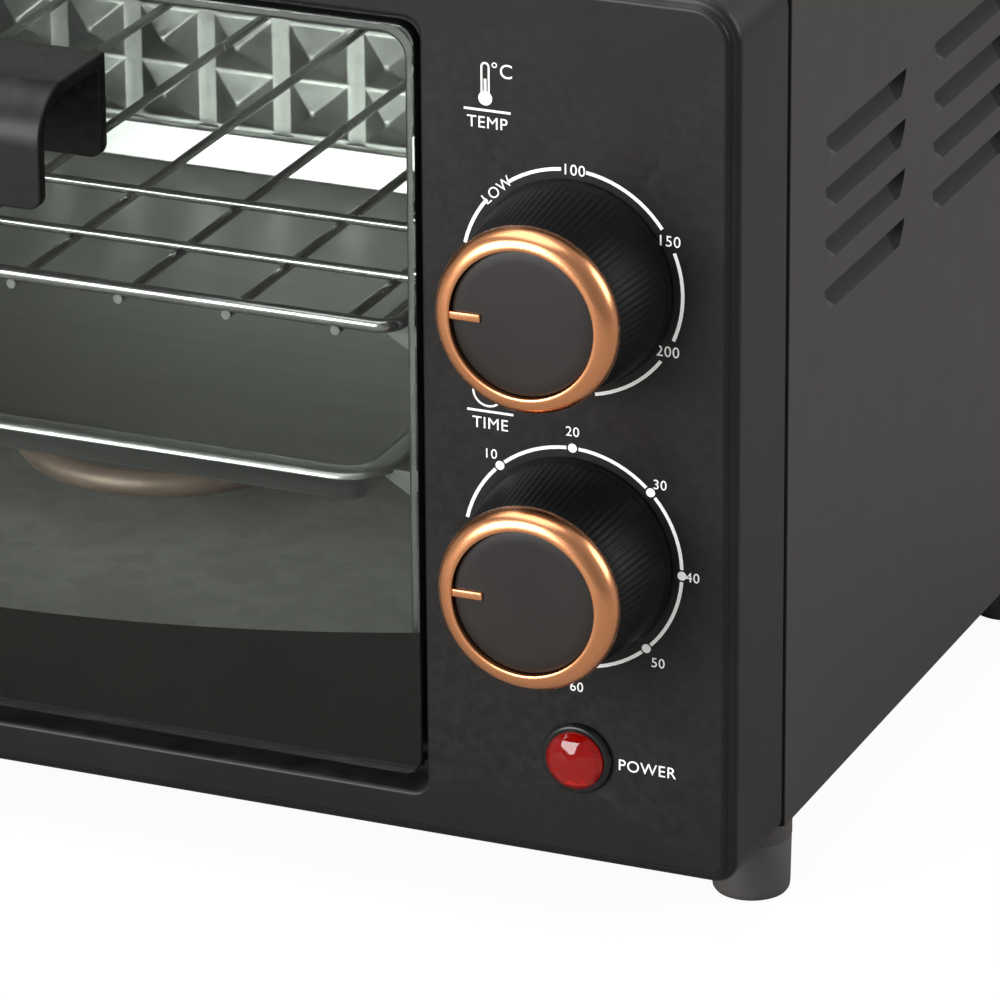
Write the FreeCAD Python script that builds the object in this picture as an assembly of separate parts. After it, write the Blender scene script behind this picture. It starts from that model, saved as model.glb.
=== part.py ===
"""Two-knob toaster oven, one solid per physical piece, millimetres, +Z up.

The origin lies on the table under the middle of the whole oven.  +X is the user's right and -Y
points at the user, so the door and the knobs face -Y.  Each node is written to parts/NODE.step.
"""
import FreeCAD
import Part

import math
import os

# Body -----------------------------------------------------------------------------------
BODY_WIDTH = 340.0
BODY_TOP = 213.2
FOOT_HEIGHT = 17.5
FRONT_Y = -105.0
REAR_Y = 129.0
FRAME_DEPTH = 28.7
FRAME_CORNER = 10.0
FRAME_LOW_CORNER = 5.0
FRAME_SHEET = 1.2
COVER_SHEET = 1.0
CAVITY_SHEET = 0.8
COVER_INSET = 1.0
SEAM = 0.2
JOGGLE_DEPTH = 6.0
FLANGE = 9.0

# Door -----------------------------------------------------------------------------------
DOOR_X = -26.3
DOOR_HALF = 124.9
DOOR_BOTTOM = 31.3
DOOR_TOP = 199.7
DOOR_CORNER = 4.5
WELL_CORNER = 3.5
GAP_SIDE = 1.2
GAP_TOP = 1.6
GAP_BOTTOM = 3.7
GLASS_FRONT = FRONT_Y + 0.2
GLASS_BACK = GLASS_FRONT + 3.5
WELL_DEPTH = 12.0
HINGE_Y = -98.7
HINGE_Z = 35.3
PIN_R = 1.5
KNUCKLE_R = 2.4
RUNNING = 0.05

# Handle ---------------------------------------------------------------------------------
HANDLE_HALF = 54.5
HANDLE_TOP = 185.5
HANDLE_BOTTOM = 160.5
HANDLE_FRONT = -137.0
HANDLE_WALL = 3.0
HANDLE_BEND = 11.5
HANDLE_FLANGE_BOTTOM = 162.5
HANDLE_SCREW_X = 38.0
HANDLE_SCREW_Z = 173.5

# Cavity, rack, tray and heaters -----------------------------------------------------------
CAVITY_HALF = 117.5
CAVITY_FLOOR = 33.0
CAVITY_ROOF = 198.0
CAVITY_FRONT = FRONT_Y + WELL_DEPTH + FRAME_SHEET + 1.0
CAVITY_BACK = 101.0
MOUTH_HALF = 117.1
MOUTH_BOTTOM = 36.0
MOUTH_TOP = 192.7
MOUTH_CORNER = 5.0
LEDGE_MARGIN = 3.4
RUNNER_REACH = 9.0
RACK_Z = 128.4
RACK_HALF = 114.8
RACK_FRONT = -93.0
RACK_BACK = 94.0
RACK_CORNER = 4.4
RACK_PITCH_X = 25.4
RACK_CROSS_YS = (-64.0, -35.0)
RACK_RIM_R = 1.6
RACK_WIRE_R = 1.1
TRAY_RIM_Z = 94.4
TRAY_DEPTH = 9.6
TRAY_HALF = 112.0
TRAY_FRONT = -95.5
TRAY_BACK = 99.4
TRAY_REAR_SHARE = 0.55
TRAY_CORNER = 12.0
TRAY_SHEET = 0.7
HEATER_X = -23.5
HEATER_BEND = 33.0
HEATER_BEND_Y = 29.0
HEATER_R = 3.2
HEATER_LEVELS = {"lower": 44.0, "upper": 186.0}
STUD_PITCH_X = 19.6
STUD_PITCH_Z = 14.0
STUD_HALF_X = 7.5
STUD_HALF_Z = 6.6
STUD_RISE = 4.3

# Controls -------------------------------------------------------------------------------
DIAL_X = 133.7
DIALS = {"temp": 148.7, "time": 87.5}
KNOB_BASE_R = 21.8
KNOB_NOSE_R = 19.5
KNOB_BASE_Y = FRONT_Y - 1.0
KNOB_NOSE_Y = FRONT_Y - 22.6
TRIM_FRONT_Y = FRONT_Y - 27.6
TRIM_OUTER_R = 20.0
TRIM_INNER_R = 15.9
TRIM_ROUND = 3.6
POINTER_INNER_R = 9.1
SHAFT_R = 3.0
LAMP_X = 134.7
LAMP_Z = 42.0
LAMP_R = 6.4

# Louvres, vents, feet and screws ----------------------------------------------------------
LOUVRE_STARTS = (-51.0, 16.0)
LOUVRE_LENGTH = 49.0
LOUVRE_HEIGHT = 5.5
LOUVRE_TOP_Z = 164.6
LOUVRE_PITCH = 11.4
LOUVRE_COUNT = 4
LOUVRE_DEPTH = 3.4
LOUVRE_DRAW = 4.0
FOOT_R = 8.8
FOOT_X = 159.5
FOOT_YS = {"front": -67.0, "rear": 100.0}
GLAND_X = 140.0
GLAND_Z = 46.0
GLAND_BORE_R = 3.6

PARTS = {}


def block(xs, ys, zs):
    """Box between two values on each axis."""
    size = [b - a for a, b in (xs, ys, zs)]
    return Part.makeBox(*size, FreeCAD.Vector(xs[0], ys[0], zs[0]))


def rod(start, end, radius):
    """Cylinder from one point to another."""
    a = FreeCAD.Vector(*start)
    run = FreeCAD.Vector(*end).sub(a)
    return Part.makeCylinder(radius, run.Length, a, run)


def cone(start, end, radius_start, radius_end):
    """Truncated cone from one point to another."""
    a = FreeCAD.Vector(*start)
    run = FreeCAD.Vector(*end).sub(a)
    return Part.makeCone(radius_start, radius_end, run.Length, a, run)


def prism(points, step):
    """Polygon swept along a straight step."""
    corners = [FreeCAD.Vector(*p) for p in points]
    wire = Part.makePolygon(corners + corners[:1])
    return Part.Face(wire).extrude(FreeCAD.Vector(*step))


def outline(xs, zs, radius, y, low_radius=None):
    """Closed wire of a round-cornered rectangle standing in the plane y."""
    (x0, x1), (z0, z1) = xs, zs
    low = low_radius or radius
    corners = [(x1 - radius, z1 - radius, radius), (x0 + radius, z1 - radius, radius),
               (x0 + low, z0 + low, low), (x1 - low, z0 + low, low)]
    ends = []
    edges = []
    for quarter, (cx, cz, radius) in enumerate(corners):
        at = [FreeCAD.Vector(cx + radius * math.cos(a), y, cz + radius * math.sin(a))
              for a in (math.pi / 4 * (2 * quarter + k) for k in range(3))]
        if ends:
            edges.append(Part.LineSegment(ends[-1], at[0]).toShape())
        edges.append(Part.Arc(*at).toShape())
        ends += [at[0], at[2]]
    edges.append(Part.LineSegment(ends[-1], ends[0]).toShape())
    return Part.Wire(edges)


def slab(xs, ys, zs, radius, low_radius=None):
    """Round-cornered rectangle in XZ, extruded along Y."""
    face = Part.Face(outline(xs, zs, radius, ys[0], low_radius))
    return face.extrude(FreeCAD.Vector(0, ys[1] - ys[0], 0))


def round_edges(shape, radius, wanted):
    """Fillet every edge whose bounding box satisfies the test."""
    return shape.makeFillet(radius, [e for e in shape.Edges if wanted(e.BoundBox)])


def fuse(shapes):
    """One solid from overlapping or touching shapes."""
    return shapes[0].multiFuse(shapes[1:]).removeSplitter()


def quarter_bend(centre, ring_r, tube_r, start, sweep):
    """Part of a torus lying flat about centre, from start degrees through sweep degrees."""
    piece = Part.makeTorus(ring_r, tube_r, FreeCAD.Vector(), FreeCAD.Vector(0, 0, 1), 0, 360, sweep)
    piece.rotate(FreeCAD.Vector(), FreeCAD.Vector(0, 0, 1), start)
    piece.translate(FreeCAD.Vector(*centre))
    return piece


def insulated_lead(points, radius, bend):
    """Wire through the points, its corners rounded by tangent arcs of one radius."""
    at = [FreeCAD.Vector(*p) for p in points]
    edges = []
    start = at[0]
    for before, corner, after in zip(at, at[1:], at[2:]):
        into = corner.sub(before).normalize()
        out = after.sub(corner).normalize()
        turn = into.getAngle(out)
        trim = bend * math.tan(turn / 2)
        first = corner - into * trim
        last = corner + out * trim
        inward = (out - into).normalize()
        middle = corner + inward * (bend / math.cos(turn / 2) - bend)
        edges.append(Part.LineSegment(start, first).toShape())
        edges.append(Part.Arc(first, middle, last).toShape())
        start = last
    edges.append(Part.LineSegment(start, at[-1]).toShape())
    section = Part.Wire(Part.Circle(at[0], at[1].sub(at[0]), radius).toShape())
    return Part.Wire(edges).makePipeShell([section], True, False)


# Housing --------------------------------------------------------------------------------
def front_frame():
    """Pressed steel front with the door's well, the control panel and their holes."""
    half = BODY_WIDTH / 2
    back = FRONT_Y + FRAME_DEPTH
    outer = slab((-half, half), (FRONT_Y, back), (FOOT_HEIGHT, BODY_TOP), FRAME_CORNER,
                 FRAME_LOW_CORNER)
    outer = round_edges(outer, 3.0, lambda b: b.YMax < FRONT_Y + 0.01)
    inset = half - FRAME_SHEET
    hollow = slab((-inset, inset), (FRONT_Y + FRAME_SHEET, back + 1),
                  (FOOT_HEIGHT + FRAME_SHEET, BODY_TOP - FRAME_SHEET), FRAME_CORNER - FRAME_SHEET,
                  FRAME_LOW_CORNER - FRAME_SHEET)
    hollow = round_edges(hollow, 1.8, lambda b: b.YMax < FRONT_Y + FRAME_SHEET + 0.01)
    xs = (DOOR_X - DOOR_HALF - GAP_SIDE, DOOR_X + DOOR_HALF + GAP_SIDE)
    zs = (DOOR_BOTTOM - GAP_BOTTOM, DOOR_TOP + GAP_TOP)
    floor_y = FRONT_Y + WELL_DEPTH
    grown = FRAME_SHEET
    well_wall = slab((xs[0] - grown, xs[1] + grown), (FRONT_Y + 0.5, floor_y + FRAME_SHEET),
                     (zs[0] - grown, zs[1] + grown), WELL_CORNER + grown)
    well = slab(xs, (FRONT_Y - 1, floor_y), zs, WELL_CORNER)
    ledge = slab((DOOR_X - MOUTH_HALF - LEDGE_MARGIN, DOOR_X + MOUTH_HALF + LEDGE_MARGIN),
                 (floor_y - 1, floor_y + 5),
                 (MOUTH_BOTTOM - LEDGE_MARGIN, MOUTH_TOP + LEDGE_MARGIN), MOUTH_CORNER + 2)
    frame = fuse([outer.cut(hollow), well_wall]).cut(well).cut(ledge)
    lip = [e for e in frame.Edges if e.BoundBox.YMax < FRONT_Y + 0.01
           and xs[0] - 0.1 < e.BoundBox.XMin and e.BoundBox.XMax < xs[1] + 0.1
           and zs[0] - 0.1 < e.BoundBox.ZMin and e.BoundBox.ZMax < zs[1] + 0.1]
    frame = frame.makeFillet(1.0, lip)
    holes = [rod((DIAL_X, FRONT_Y - 1, z), (DIAL_X, FRONT_Y + 3, z), 5.2) for z in DIALS.values()]
    holes += [rod((x, FRONT_Y - 1, z), (x, FRONT_Y + 3, z), 1.6) for x, z in control_screw_places()]
    holes.append(rod((LAMP_X, FRONT_Y - 1, LAMP_Z), (LAMP_X, FRONT_Y + 3, LAMP_Z), LAMP_R - 0.4))
    for side in (-1, 1):
        wall_x = DOOR_X + side * (DOOR_HALF + GAP_SIDE)
        holes.append(rod((wall_x - side, HINGE_Y, HINGE_Z), (wall_x + 3 * side, HINGE_Y, HINGE_Z),
                         PIN_R + RUNNING))
    return frame.cut(Part.makeCompound(holes))


def cover_section(ys, inset):
    """Solid arch section of the cover, open below: round top corners, straight sides."""
    half = BODY_WIDTH / 2 - COVER_INSET - inset
    top = BODY_TOP - COVER_INSET + 0.2 - inset
    arch = slab((-half, half), ys, (-40.0, top), 9.0 - min(inset, 6.0))
    below = block((-half - 1, half + 1), (ys[0] - 1, ys[1] + 1), (-60.0, FOOT_HEIGHT + 0.4))
    return arch.cut(below)


def louvre_slot(side, y, z):
    """Cutter for one louvre: straight along the top, drawn in at both ends towards the foot."""
    start = side * (BODY_WIDTH / 2 - 5)
    top = z + LOUVRE_HEIGHT / 2
    low = z - LOUVRE_HEIGHT / 2
    points = [(start, y, top), (start, y + LOUVRE_LENGTH, top),
              (start, y + LOUVRE_LENGTH - LOUVRE_DRAW, low), (start, y + LOUVRE_DRAW, low)]
    return prism(points, (side * 10, 0, 0))


def louvre_flap(side, y, z):
    """Flap that leans inward from the foot of one louvre and stands open along its top."""
    outer = side * (BODY_WIDTH / 2 - COVER_INSET)
    low = z - LOUVRE_HEIGHT / 2
    top = z + LOUVRE_HEIGHT / 2 - 0.6
    back = -side * COVER_SHEET
    start = y + LOUVRE_DRAW + 0.5
    points = [(outer, start, low - 0.2), (outer + back * LOUVRE_DEPTH, start, top),
              (outer + back * (LOUVRE_DEPTH + 1.0), start, top - 0.3), (outer + back, start, low - 0.4)]
    return prism(points, (0, LOUVRE_LENGTH - 2 * LOUVRE_DRAW - 1.0, 0))


def cover():
    """Sheet that makes both sides and the top, with eight louvres in each side."""
    front = FRONT_Y + FRAME_DEPTH + SEAM
    back = REAR_Y - COVER_SHEET - SEAM
    shell = cover_section((front, back), 0).cut(cover_section((front - 1, back + 1), COVER_SHEET))
    step = 0.5
    tongue = cover_section((front - JOGGLE_DEPTH, front + 2), step)
    tongue = tongue.cut(cover_section((front - JOGGLE_DEPTH - 1, front + 3), step + COVER_SHEET))
    half = BODY_WIDTH / 2
    tongue = tongue.cut(block((-half, half), (front - JOGGLE_DEPTH - 1, front + 3),
                              (0, FOOT_HEIGHT + FRAME_CORNER + 2)))
    rim = cover_section((back - COVER_SHEET, back), 0)
    rim = rim.cut(cover_section((back - 3, back + 1), FLANGE))
    body = fuse([shell, tongue, rim])
    slots = []
    flaps = []
    for side in (-1, 1):
        for y in LOUVRE_STARTS:
            for row in range(LOUVRE_COUNT):
                z = LOUVRE_TOP_Z - row * LOUVRE_PITCH
                slots.append(louvre_slot(side, y, z))
                flaps.append(louvre_flap(side, y, z))
    body = body.cut(Part.makeCompound(slots))
    body = fuse([body] + flaps)
    holes = [rod((x, back - 4, z), (x, back + 1, z), 1.55) for x, z in rear_screw_places()]
    return body.cut(Part.makeCompound(holes))


def rear_screw_places():
    """Where the rear panel's screws stand, as (x, z)."""
    side_x = BODY_WIDTH / 2 - COVER_INSET - 5.0
    top_z = BODY_TOP - 6.0
    sides = [(s * side_x, z) for s in (-1, 1) for z in (60.0, 160.0)]
    return sides + [(x, top_z) for x in (-110.0, 0.0, 110.0)]


def rear_panel():
    """Flat back with rows of vents, the cord's hole and the screw holes."""
    panel = cover_section((REAR_Y - COVER_SHEET, REAR_Y), 0)
    cuts = [rod((x, REAR_Y - 3, z), (x, REAR_Y + 1, z), 1.6) for x, z in rear_screw_places()]
    cuts.append(rod((GLAND_X, REAR_Y - 3, GLAND_Z), (GLAND_X, REAR_Y + 1, GLAND_Z), 6.6))
    for row in range(6):
        z = 176.0 - 9.0 * row
        for column in range(4):
            x = -110.0 + 55.0 * column
            cuts.append(slab((x, x + 42.0), (REAR_Y - 3, REAR_Y + 1), (z, z + 3.0), 1.45))
    return panel.cut(Part.makeCompound(cuts))


def foot_places():
    """Name and (x, y) of each foot."""
    sides = {"left": -FOOT_X, "right": FOOT_X}
    return {f"{end}_{side}": (x, y) for end, y in FOOT_YS.items() for side, x in sides.items()}


def bottom_plate():
    """Floor of the housing with vents and the holes of the foot screws."""
    half = BODY_WIDTH / 2 - COVER_INSET - COVER_SHEET - 0.2
    ys = (FRONT_Y + FRAME_DEPTH + 0.2, REAR_Y - 3 * COVER_SHEET)
    z = FOOT_HEIGHT
    plate = block((-half, half), ys, (z, z + COVER_SHEET))
    cuts = [rod((x, y, z - 2), (x, y, z + 2), 2.1) for x, y in foot_places().values()]
    for row in range(5):
        y = -40.0 + 26.0 * row
        cuts += [block((x, x + 36.0), (y, y + 3.0), (z - 2, z + 2)) for x in (-110.0, -50.0, 10.0)]
    return plate.cut(Part.makeCompound(cuts))


def foot(x, y):
    """Moulded foot, hollow below for its screw."""
    body = cone((x, y, 0), (x, y, FOOT_HEIGHT), FOOT_R - 0.3, FOOT_R)
    body = round_edges(body, 0.8, lambda b: b.ZMax < 0.01)
    well = rod((x, y, -1), (x, y, 12), 4.2)
    return body.cut(well).cut(rod((x, y, 5), (x, y, FOOT_HEIGHT + 1), 2.1))


def foot_screws():
    """One screw up through each foot into the bottom plate."""
    screws = []
    for x, y in foot_places().values():
        head = rod((x, y, 9.5), (x, y, 12), 3.7)
        screws.append(fuse([head, rod((x, y, 11), (x, y, FOOT_HEIGHT + 5), 2.0)]))
    return Part.makeCompound(screws)


def rear_screws():
    """Pan-head screws through the rear panel into the cover's rim."""
    screws = []
    for x, z in rear_screw_places():
        head = rod((x, REAR_Y, z), (x, REAR_Y + 2.0, z), 3.2)
        head = round_edges(head, 0.8, lambda b: b.YMin > REAR_Y + 1.9)
        screws.append(fuse([head, rod((x, REAR_Y - 8, z), (x, REAR_Y + 1, z), 1.5)]))
    return Part.makeCompound(screws)


def cord_gland():
    """Flanged bush that lines the cord's hole in the rear panel."""
    def at(y):
        return (GLAND_X, y, GLAND_Z)
    flange = cone(at(REAR_Y), at(REAR_Y + 8.0), 9.5, 7.0)
    sleeve = rod(at(REAR_Y - 9.0), at(REAR_Y + 1.0), 6.5)
    return fuse([flange, sleeve]).cut(rod(at(REAR_Y - 12.0), at(REAR_Y + 12.0), GLAND_BORE_R))


# Cavity ---------------------------------------------------------------------------------
def cavity_mouth():
    """Galvanised ring between the front frame's ledge and the cavity walls."""
    y = CAVITY_FRONT
    ys = (y - 0.9, y - 0.1)
    ring = slab((DOOR_X - MOUTH_HALF - 12, DOOR_X + MOUTH_HALF + 12), ys,
                (MOUTH_BOTTOM - 10, MOUTH_TOP + 12), 3.0)
    hole = slab((DOOR_X - MOUTH_HALF, DOOR_X + MOUTH_HALF), (y - 2, y + 1),
                (MOUTH_BOTTOM, MOUTH_TOP), MOUTH_CORNER)
    return ring.cut(hole)


def cavity_wall(side):
    """Side wall with the two runners that carry the rack and the tray."""
    inner = DOOR_X + side * CAVITY_HALF
    xs = sorted((inner, inner + side * CAVITY_SHEET))
    zs = (CAVITY_FLOOR - CAVITY_SHEET, CAVITY_ROOF + CAVITY_SHEET)
    pieces = [block(xs, (CAVITY_FRONT, CAVITY_BACK), zs)]
    tops = (RACK_Z - RACK_RIM_R - 0.1, TRAY_RIM_Z - TRAY_SHEET - 0.1)
    for top in tops:
        edge = inner - side * RUNNER_REACH
        points = [(inner + side * 0.3, CAVITY_FRONT + 4, top), (edge, CAVITY_FRONT + 4, top),
                  (edge, CAVITY_FRONT + 4, top - 1.2), (inner + side * 0.3, CAVITY_FRONT + 4, top - 7)]
        pieces.append(prism(points, (0, CAVITY_BACK - CAVITY_FRONT - 10, 0)))
    return fuse(pieces)


def cavity_plate(zs):
    """Flat roof or floor between the side walls."""
    inset = CAVITY_HALF - 0.05
    return block((DOOR_X - inset, DOOR_X + inset), (CAVITY_FRONT, CAVITY_BACK - 0.05), zs)


def cavity_back():
    """Back wall with rows of pressed pyramids and holes for the heater legs."""
    grown = CAVITY_HALF + CAVITY_SHEET
    xs = (DOOR_X - grown, DOOR_X + grown)
    zs = (CAVITY_FLOOR - CAVITY_SHEET, CAVITY_ROOF + CAVITY_SHEET)
    wall = block(xs, (CAVITY_BACK, CAVITY_BACK + CAVITY_SHEET), zs)
    studs = []
    for column in range(12):
        x = DOOR_X + STUD_PITCH_X * (column - 5.5)
        for row in range(9):
            z = 59.5 + STUD_PITCH_Z * row
            studs.append(pyramid(x, z))
    holes = [rod((HEATER_X + s * HEATER_BEND, CAVITY_BACK - 2, z),
                 (HEATER_X + s * HEATER_BEND, CAVITY_BACK + 3, z), HEATER_R + 0.6)
             for s in (-1, 1) for z in HEATER_LEVELS.values()]
    return fuse([wall] + studs).cut(Part.makeCompound(holes))


def pyramid(x, z):
    """Blunt four-sided stud that rises from the back wall towards the door."""
    blunt = 0.6
    base = CAVITY_BACK + 0.4
    wedge = Part.makeWedge(-STUD_HALF_X, 0, -STUD_HALF_Z, -blunt, -blunt,
                           STUD_HALF_X, STUD_RISE + 0.4, STUD_HALF_Z, blunt, blunt)
    wedge.rotate(FreeCAD.Vector(), FreeCAD.Vector(0, 0, 1), 180)
    wedge.translate(FreeCAD.Vector(x, base, z))
    return wedge


def heater(z):
    """Sheathed U-shaped element, its two legs running out through the back wall."""
    pieces = [quarter_bend((HEATER_X, HEATER_BEND_Y, z), HEATER_BEND, HEATER_R, 180, 180)]
    for side in (-1, 1):
        x = HEATER_X + side * HEATER_BEND
        pieces.append(rod((x, HEATER_BEND_Y, z), (x, CAVITY_BACK + 12, z), HEATER_R))
    return fuse(pieces)


def heater_bushes():
    """Ceramic bushes that hold the heater legs behind the back wall."""
    bushes = []
    for z in HEATER_LEVELS.values():
        for side in (-1, 1):
            x = HEATER_X + side * HEATER_BEND
            start = CAVITY_BACK + CAVITY_SHEET
            bush = rod((x, start, z), (x, start + 8.0, z), 6.5)
            bushes.append(bush.cut(rod((x, start - 1, z), (x, start + 9, z), HEATER_R + 0.02)))
    return Part.makeCompound(bushes)


def heater_tabs():
    """Push-on terminal blade on the end of each heater leg."""
    y = CAVITY_BACK + 12
    return Part.makeCompound([
        block((HEATER_X + s * HEATER_BEND - 3.0, HEATER_X + s * HEATER_BEND + 3.0), (y, y + 8),
              (z - 0.4, z + 0.4)) for s in (-1, 1) for z in HEATER_LEVELS.values()])


def wire_rack():
    """Chromed rack: a rim wire, long wires welded under its ends and two cross wires above them."""
    corner = RACK_CORNER
    mid_y = (RACK_FRONT + RACK_BACK) / 2
    half_y = (RACK_BACK - RACK_FRONT) / 2
    pieces = []
    for side in (-1, 1):
        x = DOOR_X + side * RACK_HALF
        pieces.append(rod((x, RACK_FRONT + corner, RACK_Z), (x, RACK_BACK - corner, RACK_Z),
                          RACK_RIM_R))
        y = mid_y + side * half_y
        pieces.append(rod((DOOR_X - RACK_HALF + corner, y, RACK_Z),
                          (DOOR_X + RACK_HALF - corner, y, RACK_Z), RACK_RIM_R))
        for end in (-1, 1):
            centre = (DOOR_X + side * (RACK_HALF - corner), mid_y + end * (half_y - corner), RACK_Z)
            start = {(1, 1): 0, (-1, 1): 90, (-1, -1): 180, (1, -1): 270}[side, end]
            pieces.append(quarter_bend(centre, corner, RACK_RIM_R, start, 90))
    low = RACK_Z - 2 * RACK_WIRE_R + 0.05
    for column in range(-4, 5):
        x = DOOR_X + column * RACK_PITCH_X
        pieces.append(rod((x, RACK_FRONT - 1.0, low), (x, RACK_BACK + 1.0, low), RACK_WIRE_R))
    for y in RACK_CROSS_YS:
        pieces.append(rod((DOOR_X - RACK_HALF, y, RACK_Z), (DOOR_X + RACK_HALF, y, RACK_Z),
                          RACK_WIRE_R))
    return fuse(pieces)


def tray_section(z, inset):
    """Round-cornered outline of the tray at one height, drawn in less at the rear."""
    flat = outline((DOOR_X - TRAY_HALF + inset, DOOR_X + TRAY_HALF - inset),
                   (TRAY_FRONT + inset, TRAY_BACK - TRAY_REAR_SHARE * inset), TRAY_CORNER, 0)
    flat.rotate(FreeCAD.Vector(), FreeCAD.Vector(1, 0, 0), -90)
    flat.translate(FreeCAD.Vector(0, TRAY_FRONT + inset - flat.BoundBox.YMin, z))
    return flat


def baking_tray():
    """Shallow tray with slanting walls and a flat rim that rides on the lower runners."""
    bottom = TRAY_RIM_Z - TRAY_DEPTH
    skin = TRAY_SHEET
    outer = Part.makeLoft([tray_section(bottom, 9.0), tray_section(TRAY_RIM_Z, 5.5)], True, True)
    inner = Part.makeLoft([tray_section(bottom + skin, 9.0 + skin),
                           tray_section(TRAY_RIM_Z + 0.01, 5.5 + skin)], True, True)
    rim = Part.Face(tray_section(TRAY_RIM_Z - skin, 0)).extrude(FreeCAD.Vector(0, 0, skin))
    return fuse([outer, rim]).cut(inner)


# Door -----------------------------------------------------------------------------------
def door_glass():
    """Frameless toughened pane with two holes for the handle screws."""
    pane = slab((DOOR_X - DOOR_HALF, DOOR_X + DOOR_HALF), (GLASS_FRONT, GLASS_BACK),
                (DOOR_BOTTOM, DOOR_TOP), DOOR_CORNER)
    pane = round_edges(pane, 0.5, lambda b: b.YMax < GLASS_FRONT + 0.01)
    holes = [rod((x, GLASS_FRONT - 1, HANDLE_SCREW_Z), (x, GLASS_BACK + 1, HANDLE_SCREW_Z), 2.3)
             for x in handle_screw_xs()]
    return pane.cut(Part.makeCompound(holes))


def handle_screw_xs():
    """Sideways places of the two handle screws."""
    return [DOOR_X - HANDLE_SCREW_X, DOOR_X + HANDLE_SCREW_X]


def handle():
    """Moulded hook handle: flange on the glass, arch over the top, grip plate in front."""
    x0 = DOOR_X - HANDLE_HALF

    def hook(front, top, back, bend, bottom):
        """Hook-shaped face outline from the flange, over the arch and down the grip."""
        at = [FreeCAD.Vector(x0, y, z) for y, z in (
            (back, bottom), (back, top), (front + bend, top), (front, top - bend), (front, bottom))]
        knee = FreeCAD.Vector(x0, front + bend * (1 - math.sqrt(0.5)),
                              top - bend * (1 - math.sqrt(0.5)))
        edges = [Part.LineSegment(at[0], at[1]).toShape(), Part.LineSegment(at[1], at[2]).toShape(),
                 Part.Arc(at[2], knee, at[3]).toShape(), Part.LineSegment(at[3], at[4]).toShape(),
                 Part.LineSegment(at[4], at[0]).toShape()]
        return Part.Face(Part.Wire(edges)).extrude(FreeCAD.Vector(2 * HANDLE_HALF, 0, 0))

    body = hook(HANDLE_FRONT, HANDLE_TOP, GLASS_FRONT, HANDLE_BEND, HANDLE_BOTTOM)
    gap = hook(HANDLE_FRONT + HANDLE_WALL, HANDLE_TOP - HANDLE_WALL, GLASS_FRONT - HANDLE_WALL,
               HANDLE_BEND - HANDLE_WALL, HANDLE_BOTTOM - 1)
    body = body.cut(gap)
    reach = (x0 - 1, x0 + 2 * HANDLE_HALF + 1)
    body = body.cut(block(reach, (GLASS_FRONT - HANDLE_WALL - 1, GLASS_FRONT + 1),
                          (HANDLE_BOTTOM - 1, HANDLE_FLANGE_BOTTOM)))

    def lower_corner(box):
        """Edges that run from front to back at the two free lower corners of each plate."""
        low = box.ZMax < HANDLE_FLANGE_BOTTOM + 0.01
        return low and box.XLength < 0.01 and 2.0 < box.YLength < 4.0
    body = round_edges(body, 3.0, lower_corner)
    bosses = [rod((x, GLASS_FRONT, HANDLE_SCREW_Z), (x, GLASS_FRONT - 9.0, HANDLE_SCREW_Z), 4.5)
              for x in handle_screw_xs()]
    bores = [rod((x, GLASS_FRONT + 1, HANDLE_SCREW_Z), (x, GLASS_FRONT - 8.0, HANDLE_SCREW_Z), 2.05)
             for x in handle_screw_xs()]
    return fuse([body] + bosses).cut(Part.makeCompound(bores))


def handle_screws():
    """Screws from behind the glass into the handle's bosses."""
    screws = []
    for x in handle_screw_xs():
        head = rod((x, GLASS_BACK + 0.8, HANDLE_SCREW_Z), (x, GLASS_BACK + 2.8, HANDLE_SCREW_Z), 3.6)
        shank = rod((x, GLASS_BACK + 1, HANDLE_SCREW_Z), (x, GLASS_FRONT - 7.0, HANDLE_SCREW_Z), 2.0)
        screws.append(fuse([head, shank]))
    return Part.makeCompound(screws)


def handle_washers():
    """Soft washers between the glass and the screw heads."""
    washers = []
    for x in handle_screw_xs():
        disc = rod((x, GLASS_BACK, HANDLE_SCREW_Z), (x, GLASS_BACK + 0.8, HANDLE_SCREW_Z), 4.6)
        washers.append(disc.cut(rod((x, GLASS_BACK - 1, HANDLE_SCREW_Z),
                                    (x, GLASS_BACK + 2, HANDLE_SCREW_Z), 2.1)))
    return Part.makeCompound(washers)


def hinge_bar():
    """Steel strip bonded behind the foot of the glass, rolled round the two hinge pins."""
    half = DOOR_HALF - 0.9
    xs = (DOOR_X - half, DOOR_X + half)
    strip_y = HINGE_Y - KNUCKLE_R
    strip = block(xs, (strip_y, strip_y + 1.0), (HINGE_Z, HINGE_Z + 11.7))
    knuckle = rod((xs[0], HINGE_Y, HINGE_Z), (xs[1], HINGE_Y, HINGE_Z), KNUCKLE_R)
    bore = rod((xs[0] - 1, HINGE_Y, HINGE_Z), (xs[1] + 1, HINGE_Y, HINGE_Z), PIN_R + 0.02)
    return fuse([strip, knuckle]).cut(bore)


def hinge_pin(side):
    """Pin that stands out of the hinge bar into the well's side wall."""
    start = DOOR_X + side * (DOOR_HALF - 25.0)
    end = DOOR_X + side * (DOOR_HALF + GAP_SIDE + FRAME_SHEET + 2.0)
    return rod((start, HINGE_Y, HINGE_Z), (end, HINGE_Y, HINGE_Z), PIN_R)


# Controls -------------------------------------------------------------------------------
def control_screw_places():
    """Where the screws of the thermostat and the timer stand, as (x, z)."""
    return [(DIAL_X + s * 11.5, z) for z in DIALS.values() for s in (-1, 1)]


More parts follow.
